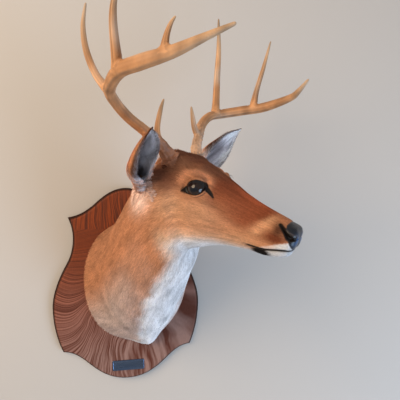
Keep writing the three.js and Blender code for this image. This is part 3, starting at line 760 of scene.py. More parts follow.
def union(first, others):
    """Joins closed objects into the first one's place, and returns a new mesh object of that name."""
    for other in others:
        modifier = first.modifiers.new("join", "BOOLEAN")
        modifier.operation = "UNION"
        modifier.solver = "MANIFOLD"
        modifier.object = other
    bpy.context.view_layer.update()
    mesh = bpy.data.meshes.new_from_object(first.evaluated_get(bpy.context.evaluated_depsgraph_get()))
    name = first.name
    for obj in [first, *others]:
        bpy.data.objects.remove(obj)
    made = bpy.data.objects.new(name, mesh)
    bpy.context.scene.collection.objects.link(made)
    return made


def positions(obj):
    co = np.zeros(len(obj.data.vertices) * 3)
    obj.data.vertices.foreach_get("co", co)
    return co.reshape(-1, 3) / MM


def nearest(points, targets):
    """The number of the target point nearest to each point, and its distance."""
    tree = KDTree(len(targets))
    for i, target in enumerate(targets):
        tree.insert(target, i)
    tree.balance()
    found = [tree.find(p) for p in points]
    return np.array([f[1] for f in found]), np.array([f[2] for f in found])


# How far a point moves towards the middle of its neighbours in one step.
SMOOTHING = 0.6
# A point this far from every point of the joined grids was made by the join.
NEW_POINT = 0.02


def soften(obj, weight, times):
    """Smooths an object's points where weight is above 0."""
    edges = np.zeros(len(obj.data.edges) * 2, np.int32)
    obj.data.edges.foreach_get("vertices", edges)
    a, b = edges.reshape(-1, 2).T
    used = (weight[a] > 0) | (weight[b] > 0)
    a, b = a[used], b[used]
    p = positions(obj)
    count = np.maximum(np.bincount(a, minlength=len(p)) + np.bincount(b, minlength=len(p)), 1)[:, None]
    for _ in range(times):
        sums = [np.bincount(a, p[b, k], len(p)) + np.bincount(b, p[a, k], len(p)) for k in range(3)]
        total = np.stack(sums, -1)
        p = np.where(weight[:, None] > 0, p + (total / count - p) * weight[:, None] * SMOOTHING, p)
    obj.data.vertices.foreach_set("co", (p * MM).astype(np.float32).ravel())
    obj.data.update()


def weld(parts, sources, reach, times):
    """Joins closed objects, smooths them where they meet, and says which source each point came from."""
    made = union(parts[0], parts[1:])
    points = positions(made)
    index, away = nearest(points, sources)
    _, from_meeting = nearest(points, points[away > NEW_POINT])
    soften(made, 1 - ramp(from_meeting, *reach), times)
    made.data.polygons.foreach_set("use_smooth", np.full(len(made.data.polygons), True))
    return made, index


def build_skin():
    """One closed skin of body and ears, with its colours and how wet it is."""
    grids = [{"p": body, "colour": body_colour, "wet": body_wet}, *ears.values()]
    parts = [closed(name, grid["p"]) for name, grid in zip(("skin", "ear", "ear"), grids)]
    sources, colours = (np.concatenate([grid[k].reshape(-1, 3) for grid in grids]) for k in ("p", "colour"))
    wet = np.concatenate([grid["wet"].ravel() for grid in grids])
    made, index = weld(parts, sources, reach=(5, 24), times=150)
    paint(made, coat=colours[index], wet=wet[index])
    return made


skin = build_skin()
skin_surface = BVHTree.FromObject(skin, bpy.context.evaluated_depsgraph_get())


# ---------------------------------------------------------------- the coat
TUFT_FACES = np.array([(0, 2, 3), (2, 4, 3), (4, 1, 3), (1, 0, 3), (0, 1, 2), (1, 4, 2)])
TUFT_PATCH = np.array([(0, -0.0015), (-0.0012, 0), (0.0012, 0), (0, 0.0003), (0, 0.0015)])
TUFT_POINTS = len(TUFT_PATCH)
# How dark each of a tuft's points is, from the root to the tip: the darker root is painted shade, where
# tufts lie over each other.
TUFT_SHADE = np.array([0.86, 1.0, 1.0, 1.03, 1.12])
# How far along a tuft its ridge is, and how high that is as a share of the tip's height.
RIDGE_AT, RIDGE_HIGH = 0.42, 0.5
# How much single tufts vary: shares of length, height and width, and of brightness.
VARY = {"long": (0.7, 1.25), "lift": (0.55, 1.0), "wide": (0.75, 1.25), "bright": 0.13}
# How bare the skin may be at a tuft's root and at its tip.
BARE_ROOT, BARE_TIP = 0.35, 0.5
# Tufts deeper inside the skin than BURIED are left out; others farther off it than LOOSE are moved onto it.
BURIED, LOOSE = 12, 0.8
MOST_TUFTS = 33000


def on_grid(values, row, col):
    """Values of a grid that closes round its columns, at places between its points."""
    rows, columns = values.shape[:2]
    row = np.clip(row, 0, rows - 1.001)
    i, j = row.astype(int), np.floor(col).astype(int)
    u, v = row - i, col - j
    if values.ndim > 2:
        u, v = u[:, None], v[:, None]
    a, b = j % columns, (j + 1) % columns
    near = values[i, a] * (1 - v) + values[i, b] * v
    far = values[i + 1, a] * (1 - v) + values[i + 1, b] * v
    return near * (1 - u) + far * u


class Ground:
    """A grid of skin that hair grows on, with what the hair is like at each of its points."""

    def __init__(self, p, normal, colour, chart):
        self.p, self.normal, self.colour, self.chart = p, normal, colour, chart
        shape = p.shape[:2]
        self.row_step = np.linalg.norm(np.gradient(p, axis=0), axis=-1)
        self.col_step = np.linalg.norm(np.roll(p, -1, axis=1) - np.roll(p, 1, axis=1), axis=-1) / 2
        self.count, self.long, self.wide = np.zeros(shape), np.ones(shape), np.ones(shape)
        self.lift, self.sweep, self.barred = np.ones(shape), np.zeros(shape), np.zeros(shape)
        self.ragged = np.full(shape, 0.13)

    def grow(self, seed):
        """Tufts as arrays: five points, a colour for each, and a place on the chart."""
        rng = np.random.default_rng(seed)
        area = self.row_step * self.col_step
        number = rng.poisson(area[:-1] * self.count[:-1])
        i, j = np.nonzero(number)
        number = number[i, j]
        row = np.repeat(i, number) + rng.random(number.sum())
        col = np.repeat(j, number) + rng.random(number.sum())
        total = len(row)
        long = on_grid(self.long, row, col) * rng.uniform(*VARY["long"], total)
        turn = on_grid(self.sweep, row, col) + rng.normal(0, 1, total) * on_grid(self.ragged, row, col)
        by_row = long * np.cos(turn) / np.maximum(on_grid(self.row_step, row, col), 0.2)
        by_col = long * np.sin(turn) / np.maximum(on_grid(self.col_step, row, col), 0.2)
        tip_row, tip_col = row + by_row, col + by_col
        keep = (tip_row < len(self.p) - 1) & (on_grid(self.barred, row, col) < BARE_ROOT)
        keep &= on_grid(self.barred, tip_row, tip_col) < BARE_TIP
        row, col, long, by_row, by_col = row[keep], col[keep], long[keep], by_row[keep], by_col[keep]
        total = len(row)
        lift = on_grid(self.lift, row, col) * rng.uniform(*VARY["lift"], total)
        wide = on_grid(self.wide, row, col) * rng.uniform(*VARY["wide"], total)
        root, root_normal = on_grid(self.p, row, col), unit(on_grid(self.normal, row, col))
        middle = row + RIDGE_AT * by_row, col + RIDGE_AT * by_col
        mid, mid_normal = on_grid(self.p, *middle), unit(on_grid(self.normal, *middle))
        end = row + by_row, col + by_col
        tip = on_grid(self.p, *end) + unit(on_grid(self.normal, *end)) * lift[:, None]
        mid = mid + mid_normal * (RIDGE_HIGH * lift)[:, None]
        points = blades(root - 0.5 * root_normal, mid, tip, mid_normal, wide)
        bright = 1 + VARY["bright"] * rng.normal(0, 1, total).clip(-2, 2)
        colour = on_grid(self.colour, row, col) * bright[:, None]
        # Each tuft's colour darkens towards its root, as painted shade under the tufts above it.
        return points, colour[:, None] * TUFT_SHADE[None, :, None], self.chart(row, col), (row, col)


def blades(root, mid, tip, up, wide):
    """The five points of each tuft: root, two sides, ridge and tip."""
    side = unit(np.cross(up, tip - root)) * (wide / 2)[:, None]
    return np.stack([root, mid + side, mid - side, mid + up * (0.12 * wide)[:, None], tip], 1)


def settle(points, worth_testing):
    """Moves tufts onto the softened skin where ears and head meet, and says which tufts to keep."""
    keep = np.ones(len(points), bool)
    for i in np.flatnonzero(worth_testing):
        root = points[i, 0]
        spot, normal, _, away = skin_surface.find_nearest(Vector(root) * MM)
        inside = (Vector(root) * MM - spot).dot(normal) < 0
        if inside and away > BURIED * MM:
            keep[i] = False
        elif away > LOOSE * MM:
            points[i] += np.array(spot) / MM - root
    return keep


def build_coat(name, points, colours, charts):
    """One piece of the coat from its tufts, in numbered parts where they are many."""
    made = []
    parts = int(np.ceil(len(points) / MOST_TUFTS))
    for part in range(parts):
        own = slice(part, None, parts)
        tufts = len(points[own])
        faces = (np.arange(tufts)[:, None, None] * TUFT_POINTS + TUFT_FACES[None]).reshape(-1, 3)
        piece_name = name if parts == 1 else f"{name}_{part + 1}"
        piece = make_object(piece_name, points[own].reshape(-1, 3), faces, smooth=False)
        paint(piece, coat=colours[own].reshape(-1, 3))
        spots = charts[own][:, None] + TUFT_PATCH[None]
        chart = piece.data.uv_layers.new(name="OFBake")
        chart.data.foreach_set("uv", spots.reshape(-1, 2)[faces.ravel()].astype(np.float32).ravel())
        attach(piece, "root")
        made.append(piece)
    return made


# How the coat changes from the nose to the shoulder, by section number.
COAT = {
    "at": [0, 3, 6, 8, 9.5, 11, 12.5, 14, 17],
    "long": [2.4, 3.4, 4.4, 5.6, 7.5, 11, 16, 21, 23],
    "wide": [0.42, 0.50, 0.58, 0.72, 0.9, 1.15, 1.5, 1.9, 2.1],
    "count": [1.7, 1.7, 1.5, 1.25, 1.0, 0.76, 0.48, 0.34, 0.30],
}


# Longer, looser hair on the poll, round the burrs and at the ears' feet: place, reach, how much longer
# and how much higher.
SHAGGY = [
    ((-269, 0, 100), (13, 34, 30), 12, 11),
    ((-238, 46, 84), (18, 18, 16), 4, 4),
    ((-226, 0, 94), (34, 44, 20), 4, 3),
    ((-296, 66, 28), (26, 26, 24), 6, 3),
]


def on_chart(corner, size, col, row):
    """Places on the skin's flat chart: shares of columns and rows, in a box with a corner and a size."""
    return np.c_[corner[0] + size[0] * (col % 1), corner[1] + size[1] * row]


def section_number(row):
    return np.interp(row, np.arange(len(T)), T)


def body_chart(row, col):
    return on_chart((0.02, 0.02), (0.62, 0.96), col / AROUND, section_number(row) / T[-1])


def body_ground():
    """The coat of head, neck and shoulder: short and close on the face, long on neck and chest."""
    ground = Ground(body, body_normal, body_colour, body_chart)
    head, _ = flat_side(to_head(body))
    t = T[:, None] + 0 * ANGLE
    for quality in ("long", "wide", "count"):
        setattr(ground, quality, np.interp(t, COAT["at"], COAT[quality]))
    ground.lift = np.interp(t, np.arange(len(COAT_DEPTH)), COAT_DEPTH)
    _, _, rim = eye_chart(head)
    fine = 0.45 + 0.55 * ramp(rim, 4, 26)
    ground.long, ground.wide, ground.lift = ground.long * fine, ground.wide * fine, ground.lift * fine
    ground.count = ground.count / fine
    ground.sweep = -0.32 * np.cos(ANGLE)[None] * ramp(t, 12, 15)
    for at, reach, longer, higher in SHAGGY:
        near = bell(np.linalg.norm((head - np.array(at)) / np.array(reach), axis=-1))
        ground.long, ground.lift = ground.long + longer * near, ground.lift + higher * near
        ground.ragged = ground.ragged + 0.3 * near
    ground.barred = body_bare
    return ground


def ear_ground(ear, side, number):
    """Close hair on an ear's back, a thin lining inside it and long pale hair along its edges and foot."""
    s, q, inner = ear["s"], ear["q"], ear["inner"]
    columns = s.shape[1]

    def chart(row, col):
        return on_chart((0.67, 0.03 + 0.47 * number), (0.30, 0.44), col / columns, row / EAR_ROWS)

    ground = Ground(ear["p"], grid_normals(ear["p"]), ear["colour"], chart)
    foot = 1 - ramp(s, 0.02, 0.26)
    edge = ramp(np.abs(q), 0.55, 0.95) * (1 - ramp(s, 0.6, 0.9))
    ground.long = 6 + 7 * foot + 9 * inner * edge
    ground.wide = 0.9 + 0.7 * foot - 0.15 * inner
    ground.lift = 0.9 + 2.2 * foot + 3.0 * inner * edge * ramp(s, 0.0, 0.2)
    ground.count = np.where(inner > 0.5, 0.34 + 0.45 * edge, 0.8) * (1 - 0.2 * foot)
    ground.sweep = -0.35 * np.sign(q) * inner * edge * side
    ground.barred = 0 * s + (s < -0.29)
    return ground


# Section numbers where the coat's pieces end, and between which the ears meet the head.
MUZZLE_END, FACE_END, CROWN_END = 8, 10, 12.4
EARS_MEET = (10.4, 13.6)


def region(t, up, left):
    """The name of the coat's piece at a section number, on the upper or lower half and on one side."""
    if t < MUZZLE_END:
        return "coat_muzzle"
    if t < FACE_END:
        return "coat_face"
    if t < CROWN_END:
        return "coat_crown" if up else "coat_cheeks"
    return f"coat_{'neck' if up else 'chest'}_{'left' if left else 'right'}"


def build_body_coat():
    points, colours, charts, (row, col) = body_ground().grow(7)
    t = section_number(row)
    keep = settle(points, (t > EARS_MEET[0]) & (t < EARS_MEET[1]))
    turn = np.stack([np.sin(ANGLE), np.cos(ANGLE)], -1)
    up, left = (on_grid(np.broadcast_to(turn, body.shape[:2] + (2,)), row, col) > 0).T
    names = np.array([region(*each) for each in zip(t, up, left)])
    made = []
    for name in np.unique(names):
        own = keep & (names == name)
        made += build_coat(name, points[own], colours[own], charts[own])
    return made


def build_ear_coats():
    made = []
    for number, (name, ear) in enumerate(ears.items()):
        points, colours, charts, (row, _) = ear_ground(ear, EARS[name]["side"], number).grow(17 + number)
        keep = settle(points, row < 0.5 * EAR_ROWS)
        made += build_coat(f"coat_ear_{name}", points[keep], colours[keep], charts[keep])
    return made


# Rings of loose hair: dark and ragged round each antler's foot, long and pale round each ear's foot. Each
# has its centre, the way it points, its inner and outer reach, how long it is and what it is tinted.
RUFFS = [
    ((-251, -43, 86), (-0.56, -0.31, 0.77), (10, 22), 9, DARK),
    ((-249, 40, 90), (-0.46, 0.32, 0.83), (10, 22), 8, DARK),
    ((-298, -62, 38), (0.35, -0.6, 0.5), (14, 44), 12, ROSE * 1.15),
    ((-290, 82, 48), (0.15, 0.75, 0.45), (14, 40), 12, ROSE * 1.15),
]
RUFF_TUFTS = 1700
# Tufts whose places lie farther than this from the skin, or from the body's own grid, are left out.
RUFF_OFF_SKIN, RUFF_OFF_BODY = 9, 3


def on_skin(points):
    """The nearest places of the skin, its normals, their numbers on the body's grid, and which are close."""
    found = [skin_surface.find_nearest(Vector(p) * MM) for p in points]
    place = np.array([f[0] for f in found]) / MM
    number, from_body = nearest(place, body.reshape(-1, 3))
    close = (np.array([f[3] for f in found]) < RUFF_OFF_SKIN * MM) & (from_body < RUFF_OFF_BODY)
    return place, np.array([f[1] for f in found]), number, close


def build_ruffs():
    """Loose hair that stands up at the inside of each ring and lies back at its outside."""
    rng = np.random.default_rng(9)
    tufts, colours, charts = [], [], []
    for centre, points_to, (inner, outer), longest, tint in RUFFS:
        axis = unit(np.array(points_to))
        side = unit(np.cross(axis, [1, 0, 0]))
        ahead = np.cross(side, axis)
        turn, reach = rng.uniform(0, 2 * np.pi, RUFF_TUFTS), rng.uniform(inner, outer, RUFF_TUFTS)
        radial = np.cos(turn)[:, None] * side + np.sin(turn)[:, None] * ahead
        root, normal, number, close = on_skin(in_head(np.array(centre) + radial * reach[:, None]))
        near = (1 - ramp(reach, inner + 2, outer))[:, None]
        aim = normal * 0.5 + (axis @ HEAD.T) * (0.2 + 0.9 * near) + (radial @ HEAD.T) * 0.25
        aim = unit(aim - HEAD[:, 0] * 0.5 + rng.normal(0, 0.16, root.shape))
        long = (longest * rng.uniform(0.8, 1.3, RUFF_TUFTS))[:, None] * (0.6 + 0.4 * near)
        mid, tip = root + aim * long * 0.5, root + unit(aim - 0.35 * HEAD[:, 0]) * long
        wide = rng.uniform(0.8, 1.4, RUFF_TUFTS)
        tufts.append(blades(root - 0.5 * normal, mid, tip, normal, wide)[close])
        shade = rng.uniform(0.7, 1.15, (RUFF_TUFTS, 1))
        own = mix(body_colour.reshape(-1, 3)[number], tint, 0.6) * shade
        colours.append(np.repeat(own[:, None], TUFT_POINTS, axis=1)[close])
        charts.append(body_chart(number // AROUND, number % AROUND)[close])
    return build_coat("coat_ruffs", np.concatenate(tufts), np.concatenate(colours), np.concatenate(charts))


# Lashes on each upper lid, their share of its half circle, how far from the eye's centre they grow, and
# how wide they are.
LASHES, LASH_SPAN, LASH_ROOT, LASH_WIDE = 34, (0.1, 0.88), 18.6, 0.55


def build_lashes():
    """Black lashes along both upper lids, longest at the middle."""
    rng = np.random.default_rng(5)
    turn = np.linspace(*LASH_SPAN, LASHES) * np.pi
    a, b = np.cos(turn), np.sin(turn)
    edge = opening_edge(a, b, OPENING["upper"]) + 1
    a, b = a * edge + OPENING["skew"] * b * edge, b * edge
    rim = OPENING_AT + a[:, None] * OPENING_ALONG + b[:, None] * EYE_UP
    root = EYE_AT + unit(rim - EYE_AT) * LASH_ROOT
    long = (3 + 2.5 * np.sin(turn)) * rng.uniform(0.75, 1.15, LASHES)
    fanned = 0.03 * a + rng.normal(0, 0.12, LASHES)
    aim = unit(EYE_OUT + 0.25 * EYE_UP + np.outer(fanned, OPENING_ALONG))
    mid, tip = root + aim * (0.5 * long)[:, None], root + unit(aim + 0.35 * EYE_UP) * long[:, None]
    lashes = blades(root, mid, tip, np.broadcast_to(EYE_UP, root.shape), np.full(LASHES, LASH_WIDE))
    points = np.concatenate([in_head(lashes), in_head(lashes * np.array([1, -1, 1]))])
    colours = np.broadcast_to(BLACK, points.shape)
    number, _ = nearest(points[:, 0], body.reshape(-1, 3))
    return build_coat("coat_lashes", points, colours, body_chart(number // AROUND, number % AROUND))


coat = build_body_coat() + build_ear_coats() + build_ruffs() + build_lashes()


# ---------------------------------------------------------------- antlers
# Each point is x, outward and up on the head, with the radius there. A tine's first point is in its beam.
# The burr's place counts the beam's points, and "low" is the colour of the beam's foot.
ANTLERS = {
    "right": {
        "side": -1,
        "burr_at": 0.82,
        "low": np.array([0.34, 0.135, 0.072]),
        "beam": [
            (-246, 38, 78, 12), (-257, 44, 93, 12), (-266, 68, 119, 9.6), (-278, 95, 136, 8.8),
            (-293, 123, 155, 8.4), (-294, 155, 176, 8.3), (-282, 186, 196, 9), (-239, 217, 222, 10.3),
            (-198, 225, 236, 10.5), (-155, 214, 255, 8.5), (-122, 198, 277, 5.5), (-88, 180, 300, 2),
        ],
        "tines": [
            [(-266, 70, 121, 6.5), (-276, 64, 142, 5), (-282, 53, 172, 3.8), (-284, 44, 194, 1.2)],
            [
                (-285, 181, 193, 8), (-306, 190, 213, 5.8), (-326, 195, 246, 4.9),
                (-335, 197, 281, 3.6), (-338, 192, 316, 1.2),
            ],
            [
                (-238, 218, 223, 9), (-235, 231, 250, 6.6), (-234, 242, 285, 5.2),
                (-231, 245, 312, 3.6), (-222, 242, 345, 1.2),
            ],
            [(-165, 218, 250, 8), (-167, 216, 270, 4.4), (-166, 211, 288, 2.8), (-162, 206, 300, 1)],
        ],
        "nodes": [
            "beam_1", "beam_2", "beam_3", "beam_4",
            "brow_tine", "second_tine", "third_tine", "fourth_tine",
        ],
    },
    "left": {
        "side": 1,
        "burr_at": 0.4,
        "low": np.array([0.62, 0.40, 0.27]),
        "beam": [
            (-246, 38, 88, 11), (-256, 45, 106, 9.6), (-274, 76, 126, 9.4), (-290, 110, 148, 9.4),
            (-295, 145, 166, 9.4), (-284, 180, 175, 10), (-249, 212, 189, 10.3), (-203, 224, 204, 10),
            (-148, 217, 230, 7.5), (-127, 205, 247, 5.5), (-106, 191, 272, 1.8),
        ],
        "tines": [
            [(-273, 75, 124, 7), (-278, 62, 145, 5.6), (-280, 52, 167, 3.9), (-283, 46, 186, 1.2)],
            [
                (-291, 163, 170, 9.3), (-307, 184, 205, 8), (-320, 196, 255, 7),
                (-326, 195, 315, 5.2), (-334, 188, 378, 1.3),
            ],
            [(-229, 219, 196, 9), (-233, 230, 235, 6), (-230, 240, 290, 4.4), (-227, 247, 348, 1.2)],
        ],
        "nodes": ["beam_1", "beam_2", "beam_3", "brow_tine", "second_tine", "third_tine"],
    },
}
BONE_MID = np.array([0.50, 0.25, 0.115])
BONE_PALE = np.array([0.56, 0.38, 0.23])
BONE_WORN = np.array([0.60, 0.47, 0.36])
# Points round a ring, and millimetres between rings.
BEAM_RINGS, TINE_RINGS = (56, 1.3), (36, 1.2)
# Heights on an antler are shares of its radius there, and places and reaches along it count its points.
FLUTES, FLUTE_HIGH = (3, 5, 7, 9), 0.028
BURR = {"high": 0.42, "reach": 0.15, "swell": 0.06, "swell_at": 0.2, "swell_reach": 0.5}
TINE_FOOT = {"high": 0.30, "reach": 0.42}
# Pearls: "along" and "round" are the millimetres of one point along the beam and of one radian round it.
PEARLS = {"number": 240, "high": 0.085, "from": 0.1, "spread": 2.4, "crowd": 1.8, "along": 27, "round": 11}


def horn(side, points, around, step, burr_at, seed):
    """Rings along a beam or a tine, how far each is from foot to tip, and its points' relief."""
    points = np.asarray(points, float)
    place = in_head(points[:, :3] * np.array([1, side, 1]))
    curve, radius = round_curve(place), smooth_through(points[:, 3:])
    count = int(np.ceil(np.linalg.norm(np.diff(place, axis=0), axis=1).sum() / step))
    t = np.linspace(0, len(points) - 1, count)
    centre, r = curve(t), radius(t)
    along = unit(np.gradient(centre, axis=0))
    across = np.zeros_like(along)
    across[0] = unit(np.cross(along[0], [0.3, 0.9, 0.2]))
    for i in range(1, count):
        across[i] = unit(across[i - 1] - along[i] * (across[i - 1] @ along[i]))
    third = np.cross(along, across)
    angle = -2 * np.pi * np.arange(around) / around
    tt = t[:, None]
    rng = np.random.default_rng(seed)
    flutes = 0
    for number in FLUTES:
        high, start, sway = rng.uniform(0.5, 1), rng.uniform(0, 6), rng.uniform(0.5, 1.2)
        flutes = flutes + high * np.cos(number * angle[None] + start + 0.7 * np.sin(tt * sway))
    wear = 1 - ramp(tt, 0.55 * t[-1], t[-1])
    shape = 1 + FLUTE_HIGH * flutes * wear
    if burr_at:
        ring = bell((tt - burr_at) / BURR["reach"])
        knobs = 0.16 * np.cos(11 * angle + 2 * np.sin(3 * angle)) + 0.10 * np.cos(17 * angle + 1)
        swell = BURR["swell"] * bell((tt - burr_at - BURR["swell_at"]) / BURR["swell_reach"])
        shape = shape + ring * (BURR["high"] + knobs) + swell
        for _ in range(PEARLS["number"]):
            at = burr_at + PEARLS["from"] + PEARLS["spread"] * rng.random() ** PEARLS["crowd"]
            turn, size = rng.uniform(0, 2 * np.pi), rng.uniform(0.9, 1.7)
            apart = np.abs((angle - turn + np.pi) % (2 * np.pi) - np.pi) * PEARLS["round"]
            away = np.hypot((tt - at) * PEARLS["along"], apart)
            shape = shape + PEARLS["high"] * size * bell(away / size)
    else:
        shape = shape + TINE_FOOT["high"] * bell(tt / TINE_FOOT["reach"])
    reach = r * shape
    ring_points = centre[:, None] + across[:, None] * (reach * np.cos(angle))[..., None]
    ring_points = ring_points + third[:, None] * (reach * np.sin(angle))[..., None]
    share = np.repeat(tt / t[-1], around, axis=1)
    return ring_points, share, shape


def bone_colour(p, share, shape, is_beam, low_colour):
    """Brown low down, honey above it and pale at the tips, darker between the pearls."""
    low = (1 - ramp(share, 0.10, 0.34)) if is_beam else 0 * share
    tip = ramp(share, 0.72, 1.0) if is_beam else ramp(share, 0.35, 0.95)
    colour = mix(np.broadcast_to(BONE_MID, share.shape + (3,)), low_colour, 0.85 * low)
    colour = mix(colour, BONE_PALE, 0.8 * tip)
    colour = mix(colour, BONE_WORN, 0.5 * ramp(ripple(p, 50, 12), -0.1, 1.1) * (1 - low))
    streaks = 0.5 + 0.5 * ripple(p * np.array([1, 1, 0.35]), 14, 11)
    colour = colour * (0.82 + 0.36 * streaks)[..., None]
    return colour * np.clip(0.55 + 3.2 * (shape - 0.9), 0.55, 1.15)[..., None]


def build_antler(name, shape):
    """One antler: its beam and tines, joined."""
    parts, sources, colours = [], [], []
    runs = [("antler_" + name, shape["beam"], BEAM_RINGS, shape["burr_at"])]
    runs += [(f"tine_{i}", points, TINE_RINGS, None) for i, points in enumerate(shape["tines"])]
    for i, (part, points, rings, burr_at) in enumerate(runs):
        p, share, relief = horn(shape["side"], points, *rings, burr_at, seed=40 + i)
        parts.append(closed(part, p))
        sources.append(p.reshape(-1, 3))
        colours.append(bone_colour(p, share, relief, bool(burr_at), shape["low"]).reshape(-1, 3))
    antler, index = weld(parts, np.concatenate(sources), reach=(1.5, 6), times=40)
    paint(antler, bone=np.concatenate(colours)[index])
    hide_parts(*[f"antler_{name}_{node}" for node in shape["nodes"]])
    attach(antler, "root")
    return antler


antlers = [build_antler(name, shape) for name, shape in ANTLERS.items()]


# ---------------------------------------------------------------- eyes
EYE_ROWS, EYE_AROUND = 56, 72
# The ball is this much smaller than the socket that the lids are shaped over.
EYE_GAP = 0.3
# The cornea's height and reach in radians, the pupil's half width and height, and where the iris ends.
CORNEA, PUPIL, IRIS = (1.3, 0.62), (7.5, 4.4), (11, 14.5)
IRIS_BROWN = np.array([0.016, 0.0065, 0.003])
PUPIL_BLACK = np.array([0.004, 0.005, 0.009])


def build_eye(side, name):
    """A glass eye: a ball with a clear bulge in front, a dark brown iris and a level, oval pupil."""
    polar = np.linspace(0.02, np.pi - 0.02, EYE_ROWS)[:, None]
    angle = np.linspace(0, 2 * np.pi, EYE_AROUND, endpoint=False)[None]
    r = EYE_RADIUS - EYE_GAP + CORNEA[0] * bell(polar / CORNEA[1]) + 0 * angle
    u, v = r * np.sin(polar) * np.cos(angle), r * np.sin(polar) * np.sin(angle)
    w = r * np.cos(polar)
    along = unit(OPENING_ALONG - EYE_OUT * (OPENING_ALONG @ EYE_OUT))
    up = np.cross(along, EYE_OUT)
    local = EYE_AT + u[..., None] * along + v[..., None] * up + w[..., None] * EYE_OUT
    grid = in_head(local * np.array([1, side, 1]))
    if side > 0:
        grid, u, v = grid[:, ::-1], u[:, ::-1], v[:, ::-1]
    eye = closed("glass_eye_" + name, grid)
    pupil = 1 - ramp(np.hypot(u / PUPIL[0], v / PUPIL[1]), 0.85, 1.1)
    iris = 1 - ramp(np.hypot(u, v), *IRIS)
    turn = np.arctan2(v, u)
    fibres = 0.5 + 0.5 * np.sin(23 * turn + 3 * np.sin(7 * turn))
    brown = IRIS_BROWN * (0.7 + 0.5 * fibres)[..., None]
    colour = mix(np.broadcast_to(BLACK * 0.7, u.shape + (3,)), brown, iris)
    colour = mix(colour, PUPIL_BLACK, pupil).reshape(-1, 3)
    paint(eye, glass=np.concatenate([colour, colour[:1], colour[-1:]]))
    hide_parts("eye_" + name)
    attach(eye, "root")
    return eye


eyes = [build_eye(ear["side"], name) for name, ear in EARS.items()]

# ---------------------------------------------------------------- the shield and its plate
SHIELD_TOP, SHIELD_BOTTOM, SHIELD_HALF = 255, -259, 191
PLATE_SIZE, PLATE_AT = np.array([84, 28]), -218
# The moulded edge, from the wall to the front: how far in from the outline, and how far out of the wall.
EDGE = [
    (0.8, 0.0), (0.0, 0.8), (0.0, 8.6), (0.4, 9.6), (1.6, 10.4), (2.2, 10.8), (2.5, 12.2),
    (3.1, 14.2), (4.2, 16.0), (5.6, 17.4), (6.9, 18.3), (8.0, 18.8), (9.0, 19.0),
]
# The edge is stained nearly black, and fades over the last stretch before it is this far in.
EDGE_LIGHT, EDGE_FADE = 8.0, 5.5
# The plate's rounded corners, and its rolled edge in the same terms as the shield's.
PLATE_CORNER, PLATE_CORNER_POINTS = 3.0, 8
PLATE_EDGE = [
    (0, 19.3), (0, 19.9), (0.35, 20.5), (0.9, 20.9), (1.6, 21.0), (2.4, 20.9), (3.0, 20.5), (3.4, 20.4),
]


def shield_outline(per_curve=26):
    """The scalloped outline in x and z: Bezier curves up the side at +X, and their mirror images."""
    side_curves = [
        (45, SHIELD_BOTTOM, 74, SHIELD_BOTTOM + 22, 98, SHIELD_BOTTOM + 44),
        (118, SHIELD_BOTTOM + 62, 136, SHIELD_BOTTOM + 82, 167, SHIELD_BOTTOM + 84),
        (183, -140, SHIELD_HALF, -95, SHIELD_HALF, -57),
        (SHIELD_HALF, -12, 168, 34, 150, 66),
        (136, 94, 128, 140, 147, 181),
        (122, 184, 104, SHIELD_TOP - 60, 84, SHIELD_TOP - 44),
        (62, SHIELD_TOP - 24, 36, SHIELD_TOP, 0, SHIELD_TOP),
    ]
    start = np.array([0.0, SHIELD_BOTTOM])
    u = (np.arange(per_curve) / per_curve)[:, None]
    right = []
    for curve in side_curves:
        a, b, end = np.array(curve, float).reshape(3, 2)
        right.append(start * (1 - u) ** 3 + 3 * a * u * (1 - u) ** 2 + 3 * b * u**2 * (1 - u) + end * u**3)
        start = end
    right = np.concatenate(right)
    left = right[1:][::-1] * np.array([-1, 1])
    return np.concatenate([right, [[0, SHIELD_TOP]], left])


def inset(outline, distance):
    """The outline moved inwards, where points that would cross at a sharp corner meet at the new corner."""
    ahead, behind = np.roll(outline, -1, axis=0), np.roll(outline, 1, axis=0)
    tangent = unit(ahead - behind)
    moved = outline + np.c_[-tangent[:, 1], tangent[:, 0]] * distance
    step = ahead - outline
    apart = moved[:, None] - outline[None]
    share = np.clip((apart * step).sum(-1) / (step * step).sum(-1), 0, 1)
    away = np.linalg.norm(apart - share[..., None] * step, axis=-1).min(1)
    kept = np.flatnonzero(away > distance - 0.06)
    number = np.arange(len(outline))
    return np.stack([np.interp(number, kept, moved[kept, k], period=len(outline)) for k in range(2)], -1)


def build_shield():
    """The board: its moulded edge, ring by ring, between a flat front and a flat back."""
    outline = shield_outline()
    n = len(outline)
    points = []
    for off, out in EDGE:
        ring = inset(outline, off)
        points.append(np.c_[ring[:, 0], np.full(n, -out), ring[:, 1]])
    j = np.arange(n)
    k = (j + 1) % n
    last = (len(EDGE) - 1) * n
    faces = []
    for i in range(len(EDGE) - 1):
        faces.append(np.c_[i * n + j, i * n + k, (i + 1) * n + k])
        faces.append(np.c_[i * n + j, (i + 1) * n + k, (i + 1) * n + j])
    front = np.array(tessellate_polygon([[Vector((x, z, 0)) for x, _, z in points[-1]]]))
    faces += [front + last, front[:, ::-1]]
    made = make_object("wooden_shield", np.concatenate(points), np.concatenate(faces))
    level = np.zeros(len(made.data.polygons), bool)
    level[: 2 * n * (len(EDGE) - 1)] = True
    made.data.polygons.foreach_set("use_smooth", level)
    shade = [float(ramp(EDGE_LIGHT - off, 0, EDGE_FADE)) for off, _ in EDGE]
    paint(made, edge=np.repeat(shade, n))
    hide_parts("shield")
    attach(made, "root")
    return made


